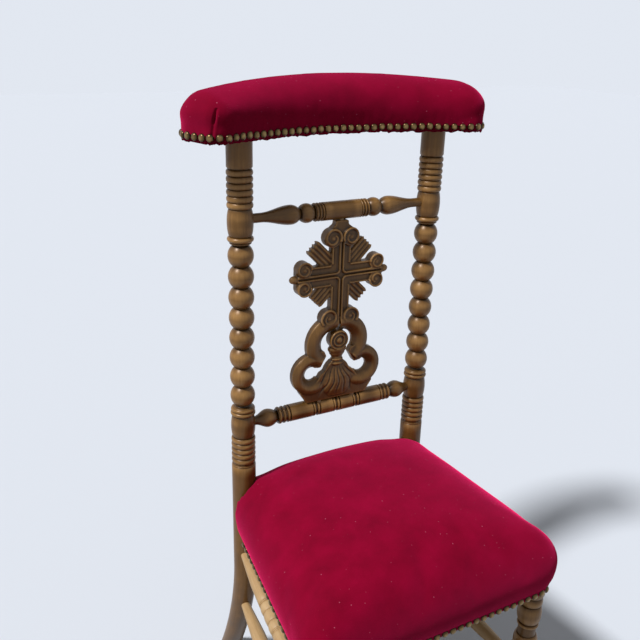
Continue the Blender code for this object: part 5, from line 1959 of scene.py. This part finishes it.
@dataclass
class TopRest:
    """The bowed, padded arm rest on top of the posts."""

    frame: Frame
    half_length: float = 0.2275
    depth: float = 0.088
    front: float = 0.003
    bow: float = 0.060
    front_corner: float = 0.022
    rear_corner: float = 0.040
    least_corner: float = 0.004
    left_share: float = 0.45
    right_share: float = 0.90
    arch: float = 0.016
    lean: float = 0.003
    hem: float = 0.012
    nail_spacing: float = 0.0123
    nail_rise: float = 0.006
    cloth: float = 0.0022
    voxel: float = 0.0034
    slack: float = 0.0022
    stuffing: Stuffing = Stuffing(cap=0.006)
    settle_start: float = 1.4
    settle_rounds: int = 6
    pleat_angle: float = 25.0
    pleat_tilt: float = 0.17
    pleat_depth: float = 0.0074
    pleat_width: float = 0.0018
    pleat_reach: float = 0.010
    pleat_rise: float = 0.042
    pleat_fade: float = 0.4
    fold_height: float = 0.0008
    fold_place: float = 2.4
    board_top: float = 0.0215
    board_clear: float = 0.0019
    board_fade: float = 0.007
    gather_start: float = 0.5
    gather_steep: float = 0.75
    gather_rise: float = 0.030
    gather_depth: float = 0.0010
    gather_rate: float = 130.0
    gather_seed: float = 3.0
    fray: float = 0.0036
    fray_top: float = 0.008
    fray_out: float = 0.0003
    fray_cloth: float = 0.0008
    fray_points: int = 40
    fray_coarse: tuple[float, float] = (90.0, 0.0)
    fray_fine: tuple[float, float] = (420.0, 5.0)

    def plan(self, draw: float, steps: int = 8) -> list[Vector]:
        """The rest's plan, drawn in.

        Args:
            draw: How far it is drawn in.
            steps: Points on each corner.

        Returns:
            The plan's points.
        """
        shares = (self.left_share, self.right_share) if draw > 0 else (1.0, 1.0)
        left, right = (self.half_length - share * draw for share in shares)
        y = self.depth / 2 - draw
        radii = self.front_corner, self.rear_corner
        near, far = (max(radius - draw, self.least_corner) for radius in radii)
        flat = rounded(((-left, -y), (right, -y), (right, y), (-left, y)), (near, near, far, far), steps)
        return [self.bent(point) for point in flat]

    def bent(self, flat: Vector) -> Vector:
        """A point of the straight plan, moved square to the bowed one.

        Args:
            flat: The point.

        Returns:
            Its place on the bowed plan.
        """
        slope = 2 * self.bow * flat.x / self.half_length ** 2
        stretch = math.hypot(1, slope)
        bow = self.bow * (flat.x / self.half_length) ** 2
        middle = self.frame.post_y + self.depth / 2 - self.front
        return Vector((flat.x + flat.y * slope / stretch, middle + flat.y / stretch - bow))

    def skin(self) -> BMesh:
        """The pad's skin, before it is blown up.

        Returns:
            The skin.
        """
        give = self.slack
        stations = eased((
            Station(0.0002, 0.0, 0.0), Station(0.0002, 0.006, 0.0), Station(-0.0004, self.hem, 0.0),
            Station(give - 0.0024, 0.020, 0.05), Station(give - 0.0036, 0.030, 0.18),
            Station(give - 0.0035, 0.042, 0.42), Station(give, 0.054, 0.75),
            Station(give + 0.0080, 0.0645, 0.95), Station(give + 0.0190, 0.0720, 1.0),
            Station(give + 0.0320, 0.0762, 1.0), Station(0.0395, 0.0770, 1.0),
        ), 3)
        loops = []
        for station in stations:
            height = self.frame.rest_underside + station.rise
            loop = []
            for point in self.plan(station.draw):
                along = point.x / self.half_length
                sway = station.shape * (self.lean * along - self.arch * along ** 2)
                loop.append(Vector((*point, height + sway)))
            loops.append(loop)
        return fused(lofted(loops), self.voxel)

    def pleat(self) -> tuple[Vector, Vector]:
        """Place of the pleat at the front left corner, and its way out, in plan.

        Returns:
            The place and the way.
        """
        turn = math.radians(180 + self.pleat_angle)
        out = Vector((math.cos(turn), math.sin(turn)))
        centre = Vector((self.front_corner - self.half_length, self.front_corner - self.depth / 2))
        place = self.bent(centre + out * self.front_corner)
        return place, (self.bent(centre + 2 * out * self.front_corner) - place).normalized()

    def pressed(self, aside: float, rise: float) -> float:
        """How far the pleat lifts the cloth, below 0 where it is pressed in.

        Args:
            aside: Distance along the cover from the pleat's foot.
            rise: Height over the rest's underside.

        Returns:
            The lift.
        """
        aside -= self.pleat_tilt * (rise - self.hem)
        fade = max(0.0, 1 - rise / self.pleat_rise) ** self.pleat_fade
        free = min(1.0, max(0.0, (rise - self.board_top) / self.board_fade))
        deep = self.board_clear + (self.pleat_depth - self.board_clear) * free
        slit = deep * math.exp(-(aside / self.pleat_width) ** 2)
        beside = (aside - self.fold_place * self.pleat_width) / self.pleat_width
        return fade * (self.fold_height * math.exp(-beside ** 2) - slit)

    def gather(self, bm: BMesh) -> None:
        """Press in the pleat, and the small gathers over the nails.

        Args:
            bm: The pad's skin.
        """
        base = self.frame.rest_underside
        place, out = self.pleat()
        across = Vector((-out.y, out.x))
        close = [vert for vert in bm.verts if (vert.co.xy - place).length < self.pleat_reach]
        edges = {edge for vert in close for edge in vert.link_edges}
        bmesh.ops.subdivide_edges(bm, edges=list(edges), cuts=2, use_grid_fill=True)
        bm.normal_update()
        for vert in bm.verts:
            rise = vert.co.z - base
            if rise < self.hem * self.gather_start or vert.normal.z > self.gather_steep:
                continue
            away = vert.co.xy - place
            if away.length < self.pleat_reach:
                vert.co += self.pressed(away.dot(across), rise) * out.to_3d()
            if rise < self.gather_rise:
                ripple = noise.noise(Vector((*(vert.co.xy * self.gather_rate), self.gather_seed)))
                vert.co += vert.normal * self.gather_depth * ripple * (1 - rise / self.gather_rise)

    def hem_strip(self) -> BMesh:
        """The cut edge of the velvet, frayed, under the nails.

        Returns:
            The strip.
        """
        bm = bmesh.new()
        base = self.frame.rest_underside
        line = self.plan(-self.fray_out, self.fray_points)
        edges = wired(bm, [(point.x, point.y, base + self.fray_top) for point in line])[1]
        made = bmesh.ops.extrude_edge_only(bm, edges=edges)
        for vert in made["geom"]:
            if isinstance(vert, bmesh.types.BMVert):
                wild = 0.5
                for rate, seed in (self.fray_coarse, self.fray_fine):
                    wild += 0.5 * noise.noise(Vector((*(vert.co.xy * rate), seed)))
                vert.co.z = base - self.fray * max(0.0, wild)
        bmesh.ops.solidify(bm, geom=bm.faces, thickness=self.fray_cloth)
        bmesh.ops.recalc_face_normals(bm, faces=bm.faces)
        return bm

    def build(self, finishes: Finishes) -> None:
        """Make the cover and its nails.

        Args:
            finishes: The chair's finishes.
        """
        base = self.frame.rest_underside
        bm = self.skin()
        self.stuffing.inflate(bm, lambda point: point.z < base + self.hem)
        settle(bm, base + self.settle_start * self.hem, self.settle_rounds)
        self.gather(bm)
        opened(bm, base, self.cloth)
        add_shape(bm, self.hem_strip())
        nodes = ["top_rest_velvet", "top_rest_stuffing"]
        cover = dress("rest_cover", bm, finishes.velvet, nodes, SMOOTH_ALL)
        NailRow().build(
            "rest_nail_heads", self.plan(0.0), True, self.nail_spacing, base + self.nail_rise, finishes,
            "top_rest_nails",
        )


@dataclass
class Seat:
    """The stuffed-over velvet seat. Depths are counted from the posts' axes."""

    frame: Frame
    overhang: float = 0.0105
    flare: float = 0.111
    front: float = 0.325
    rear: float = 0.016
    corner: float = 0.026
    rear_corner: float = 0.018
    side_dip: float = 0.016
    rear_lift: float = 0.35
    lift_depth: float = 0.13
    rear_pull: float = 0.0085
    pull_place: float = 0.030
    pull_width: float = 0.024
    pull_middle: float = 0.080
    middle_rise: float = 0.38
    tall: float = 0.1355
    crown_power: float = 3.0
    hem: float = 0.012
    notch: float = 0.0194
    cut_side: float = 0.06
    cut_height: float = 1.0
    side_stop: float = 0.0095
    tuck: float = 0.046
    nail_spacing: float = 0.0135
    nail_rise: float = 0.006
    rear_seed: int = 11
    cloth: float = 0.0024
    voxel: float = 0.0046
    slack: float = 0.0024
    stuffing: Stuffing = Stuffing(cap=0.008)
    settle_start: float = 1.4
    settle_rounds: int = 8

    def half_width(self, y: float) -> float:
        """Half the seat's width at a depth."""
        return self.frame.post_x + self.overhang - self.flare * y

    def plan(self, draw: float, steps: int = 8) -> list[Vector]:
        """The seat's plan, drawn in at its front and sides, and at its rear when it shrinks.

        Args:
            draw: How far it is drawn in.
            steps: Points on each corner.

        Returns:
            The plan's points.
        """
        rear = self.rear - max(draw, 0.0)
        front = draw - self.front
        slant = draw * math.hypot(1, self.flare)
        near, far = self.half_width(front) - slant, self.half_width(rear) - slant
        corner = max(self.corner - draw, self.rear_corner)
        flat = rounded(((-near, front), (near, front), (far, rear), (-far, rear)),
                       (corner, corner, self.rear_corner, self.rear_corner), steps)
        return [Vector((point.x, point.y + self.frame.post_y)) for point in flat]

    def crown(self, share: float) -> list[Vector]:
        """A rounded loop inside the plan, with one point for each point of the plan.

        Args:
            share: Its size as a share of the plan's.

        Returns:
            The loop's points.
        """
        middle = self.frame.post_y + (self.rear - self.front) / 2
        wide = share * self.half_width((self.rear - self.front) / 2)
        deep = share * (self.front + self.rear) / 2
        power = self.crown_power
        loop = []
        for point in self.plan(0.0):
            x, y = point.x, point.y - middle
            reach = (abs(x / wide) ** power + abs(y / deep) ** power) ** (1 / power)
            loop.append(Vector((x / reach, middle + y / reach)))
        return loop

    def skin(self) -> BMesh:
        """The pad's skin, before it is blown up, notched for the posts.

        Returns:
            The skin.
        """
        give = self.slack
        sides = eased((
            Station(0.0002, 0.0, 0.0), Station(0.0002, 0.006, 0.0), Station(-0.0006, self.hem, 0.0),
            Station(give - 0.0085, 0.024, 0.05), Station(give - 0.0115, 0.042, 0.15),
            Station(give - 0.0120, 0.066, 0.40), Station(give - 0.0060, 0.090, 0.80),
            Station(give + 0.0040, 0.106, 1.0), Station(give + 0.0150, 0.1155, 1.0),
        ), 3)
        loops = [self.dipped(self.plan(side.draw), side.rise, side.shape) for side in sides]
        for share, rise, dip in ((0.78, 0.1275, 0.95), (0.58, 0.1325, 0.75), (0.38, 0.1340, 0.45),
                                 (0.20, 0.1352, 0.20), (0.06, self.tall, 0.0)):
            loops.append(self.dipped(self.crown(share), rise, dip))
        return fused(self.notched(lofted(loops)), self.voxel)

    def dipped(self, plan: Iterable[Vector], rise: float, dip: float) -> list[Vector]:
        """A loop at a height, lowered towards both sides and pulled down at the rear beside the posts.

        Args:
            plan: The loop's points in plan.
            rise: Height over the seat's underside.
            dip: Share of the lowering at the sides.

        Returns:
            The loop's points.
        """
        half = self.half_width((self.rear - self.front) / 2)
        height = self.frame.seat_underside + rise
        loop = []
        for point in plan:
            near = 1 + (point.y - self.frame.post_y) / self.lift_depth
            near = min(1.0, max(0.0, near))
            lowered = dip * self.side_dip * (1 - self.rear_lift * near)
            drop = lowered * abs(point.x / half) ** self.crown_power
            off_post = abs(point.x) - self.frame.post_x + self.pull_place
            beside = math.exp(-(off_post / self.pull_width) ** 2)
            between = math.exp(-(point.x / self.pull_middle) ** 2)
            pull = self.rear_pull * (near * rise / self.tall) ** 2 * (beside - self.middle_rise * between)
            loop.append(Vector((*point, height - drop - pull)))
        return loop

    def notched(self, bm: BMesh) -> BMesh:
        """Cut the pad clear of the posts, and off at their outer sides.

        Args:
            bm: The pad's form, which is freed.

        Returns:
            The form with its notches.
        """
        base = self.frame.seat_underside
        tools = bmesh.new()
        for side in Side:
            x, y = side.value * self.frame.post_x, self.frame.post_y
            bmesh.ops.create_cone(
                tools, cap_ends=True, segments=48, radius1=self.notch, radius2=self.notch,
                depth=self.cut_height, matrix=Matrix.Translation((x, y, base)),
            )
            half = self.cut_side / 2
            size = Matrix.Diagonal((self.cut_side, self.cut_side + self.side_stop, self.cut_height, 1))
            middle = (x + side.value * half, y + half - self.side_stop / 2, base)
            bmesh.ops.create_cube(tools, size=1.0, matrix=Matrix.Translation(middle) @ size)
        form, cutter = as_object("seat_form", bm), as_object("post_cut", tools)
        for done in (bm, tools):
            done.free()
        cut = form.modifiers.new("notch", "BOOLEAN")
        cut.operation = "DIFFERENCE"
        cut.solver = "EXACT"
        cut.use_self = True
        cut.object = cutter
        result = evaluated(form)
        discard(form, cutter)
        return result

    def nail_line(self) -> list[Vector]:
        """The plan line of the nails, from post to post round the front.

        Returns:
            The line's points.
        """
        stop = self.frame.post_y - self.side_stop - self.hem / 2
        plan = [point for point in self.plan(0.0) if point.y < stop]
        first = max(range(len(plan)), key=lambda i: (plan[i] - plan[i - 1]).length)
        return plan[first:] + plan[:first]

    def aside(self, point: Vector) -> float:
        """How far a point is from the nearer post's axis, in plan."""
        return math.hypot(abs(point.x) - self.frame.post_x, point.y - self.frame.post_y)

    def held(self, point: Vector) -> bool:
        """Whether a point of the pad is nailed down or tucked against a post."""
        nailed = point.z < self.frame.seat_underside + self.hem
        return nailed or self.aside(point) < self.notch + self.voxel

    def tucked(self, point: Vector) -> bool:
        """Whether a point of the pad is close beside a post."""
        return self.aside(point) < self.tuck

    def build(self, finishes: Finishes) -> None:
        """Make the cover and its nails.

        Args:
            finishes: The chair's finishes.
        """
        base = self.frame.seat_underside
        bm = self.skin()
        self.stuffing.inflate(bm, self.held)
        settle(bm, base + self.settle_start * self.hem, self.settle_rounds, self.tucked)
        opened(bm, base, self.cloth)
        nodes = ["seat_velvet", "seat_stuffing"]
        cover = dress("seat_cover", bm, finishes.velvet, nodes, SMOOTH_ALL)
        end = self.frame.post_x - self.notch
        back = self.frame.post_y + self.rear
        rear_line = [Vector((end, back)), Vector((-end, back))]
        for row, name, line, node in (
            (NailRow(), "seat_nail_heads", self.nail_line(), "seat_nails"),
            (NailRow(seed=self.rear_seed), "seat_rear_nail_heads", rear_line, "seat_rear_nails"),
        ):
            row.build(name, line, False, self.nail_spacing, base + self.nail_rise, finishes, node)


def dress_frame(nodes: dict[str, Piece], finishes: Finishes) -> None:
    """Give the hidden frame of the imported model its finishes.

    Args:
        nodes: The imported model's objects by name.
        finishes: The chair's finishes.
    """
    woods = ("seat_rail", "corner_block", "top_rest_board")
    for name, node in nodes.items():
        if name.startswith("webbing"):
            finish = finishes.jute
        elif name.startswith(woods) or "dowel" in name:
            finish = finishes.sawn
        else:
            continue
        node.data.materials.clear()
        node.data.materials.append(finish)


@dataclass
class Studio:
    """A pale floor, soft light, and a camera where the photographer stood."""

    frame: Frame
    place: tuple[float, float, float] = (-0.5372, -0.9331, 1.0737)
    yaw: float = 28.58
    pitch: float = 21.40
    roll: float = -1.48
    lens: float = 41.97
    sensor: float = 36.0
    near_clip: float = 0.02
    sun_from: tuple[float, float, float] = (-0.59, -0.07, 0.80)
    sun_strength: float = 3.3
    sun_angle: float = 8.0
    sky: Colour = (1, 1, 1, 1)
    sky_strength: float = 0.22
    backdrop: Colour = (0.760, 0.803, 0.878, 1)
    pale: Colour = (0.705, 0.745, 0.815, 1)
    bounce: Colour = (0.20, 0.20, 0.20, 1)
    floor_size: float = 12.0
    floor_roughness: float = 0.95

    def camera(self) -> None:
        """Set the camera, placed from the posts' axes."""
        yaw, pitch, roll = (math.radians(v) for v in (self.yaw, self.pitch, self.roll))
        ahead = Vector((math.sin(yaw) * math.cos(pitch), math.cos(yaw) * math.cos(pitch), -math.sin(pitch)))
        right = Vector((math.cos(yaw), -math.sin(yaw), 0))
        down = ahead.cross(right)
        tilted_right = math.cos(roll) * right + math.sin(roll) * down
        tilted_down = math.cos(roll) * down - math.sin(roll) * right
        data = bpy.data.cameras.new("camera")
        data.sensor_width = self.sensor
        data.lens = self.lens
        data.clip_start = self.near_clip
        camera = bpy.data.objects.new("camera", data)
        bpy.context.collection.objects.link(camera)
        turn = Matrix((tilted_right, -tilted_down, -ahead)).transposed().to_4x4()
        spot = Vector(self.place) + Vector((0, self.frame.post_y, 0))
        camera.matrix_world = Matrix.Translation(spot) @ turn
        bpy.context.scene.camera = camera

    def sun(self) -> None:
        """Set one wide sun."""
        lamp = bpy.data.lights.new("key", "SUN")
        lamp.energy = self.sun_strength
        lamp.angle = math.radians(self.sun_angle)
        key = bpy.data.objects.new("key", lamp)
        key.rotation_mode = "QUATERNION"
        key.rotation_quaternion = Vector(self.sun_from).to_track_quat("Z", "Y")
        bpy.context.collection.objects.link(key)

    def world(self) -> None:
        """Set an even sky, whose backdrop shows only to the camera and in reflections."""
        world = bpy.data.worlds.new("studio")
        world.use_nodes = True
        bpy.context.scene.world = world
        tree = world.node_tree
        tree.nodes.clear()
        rays = tree.nodes.new("ShaderNodeLightPath").outputs
        seen = rays[SEEN_RAYS[0]]
        for kind in SEEN_RAYS[1:]:
            either = tree.nodes.new("ShaderNodeMath")
            either.operation = "MAXIMUM"
            tree.links.new(seen, either.inputs[0])
            tree.links.new(rays[kind], either.inputs[1])
            seen = either.outputs[0]
        mix = tree.nodes.new("ShaderNodeMixShader")
        tree.links.new(seen, mix.inputs["Fac"])
        for i, (colour, strength) in enumerate(((self.sky, self.sky_strength), (self.backdrop, 1.0)), 1):
            light = tree.nodes.new("ShaderNodeBackground")
            light.inputs["Color"].default_value = colour
            light.inputs["Strength"].default_value = strength
            tree.links.new(light.outputs[0], mix.inputs[i])
        output = tree.nodes.new("ShaderNodeOutputWorld")
        tree.links.new(mix.outputs[0], output.inputs["Surface"])

    def floor(self) -> None:
        """Lay the floor, which is pale to the camera and bounces less light."""
        bm = bmesh.new()
        bmesh.ops.create_grid(bm, x_segments=2, y_segments=2, size=self.floor_size)
        floor = as_object("floor", bm)
        bm.free()
        recipe = Recipe("pale_floor")
        rays = recipe.add("ShaderNodeLightPath").outputs
        seen = recipe.sum(*((rays[kind], 1) for kind in SEEN_RAYS))
        colour = recipe.blend(seen, self.bounce, self.pale)
        recipe.shade(base_color=colour, roughness=self.floor_roughness)
        floor.data.materials.append(recipe.material)

    def build(self) -> None:
        """Set up the whole studio."""
        bpy.context.scene.view_settings.view_transform = "Standard"
        self.camera()
        self.sun()
        self.world()
        self.floor()


def main() -> None:
    """Load the frame, dress it and set the studio."""
    logging.basicConfig(level=logging.INFO, format="%(message)s")
    for thing in list(bpy.data.objects):
        bpy.data.objects.remove(thing)
    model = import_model()
    frame = Frame.measured()
    finishes = Finishes.mixed()
    Studio(frame).build()
    dress_frame(model["nodes"], finishes)
    posts = {side: TurnedPost(frame, side) for side in Side}
    for post in posts.values():
        post.build(finishes)
    CrossRails(frame).build(finishes)
    CarvedSplat(frame).build(finishes)
    LegsAndStretchers(frame).build(posts, finishes)
    TopRest(frame).build(finishes)
    Seat(frame).build(finishes)


if __name__ == "__main__":
    main()
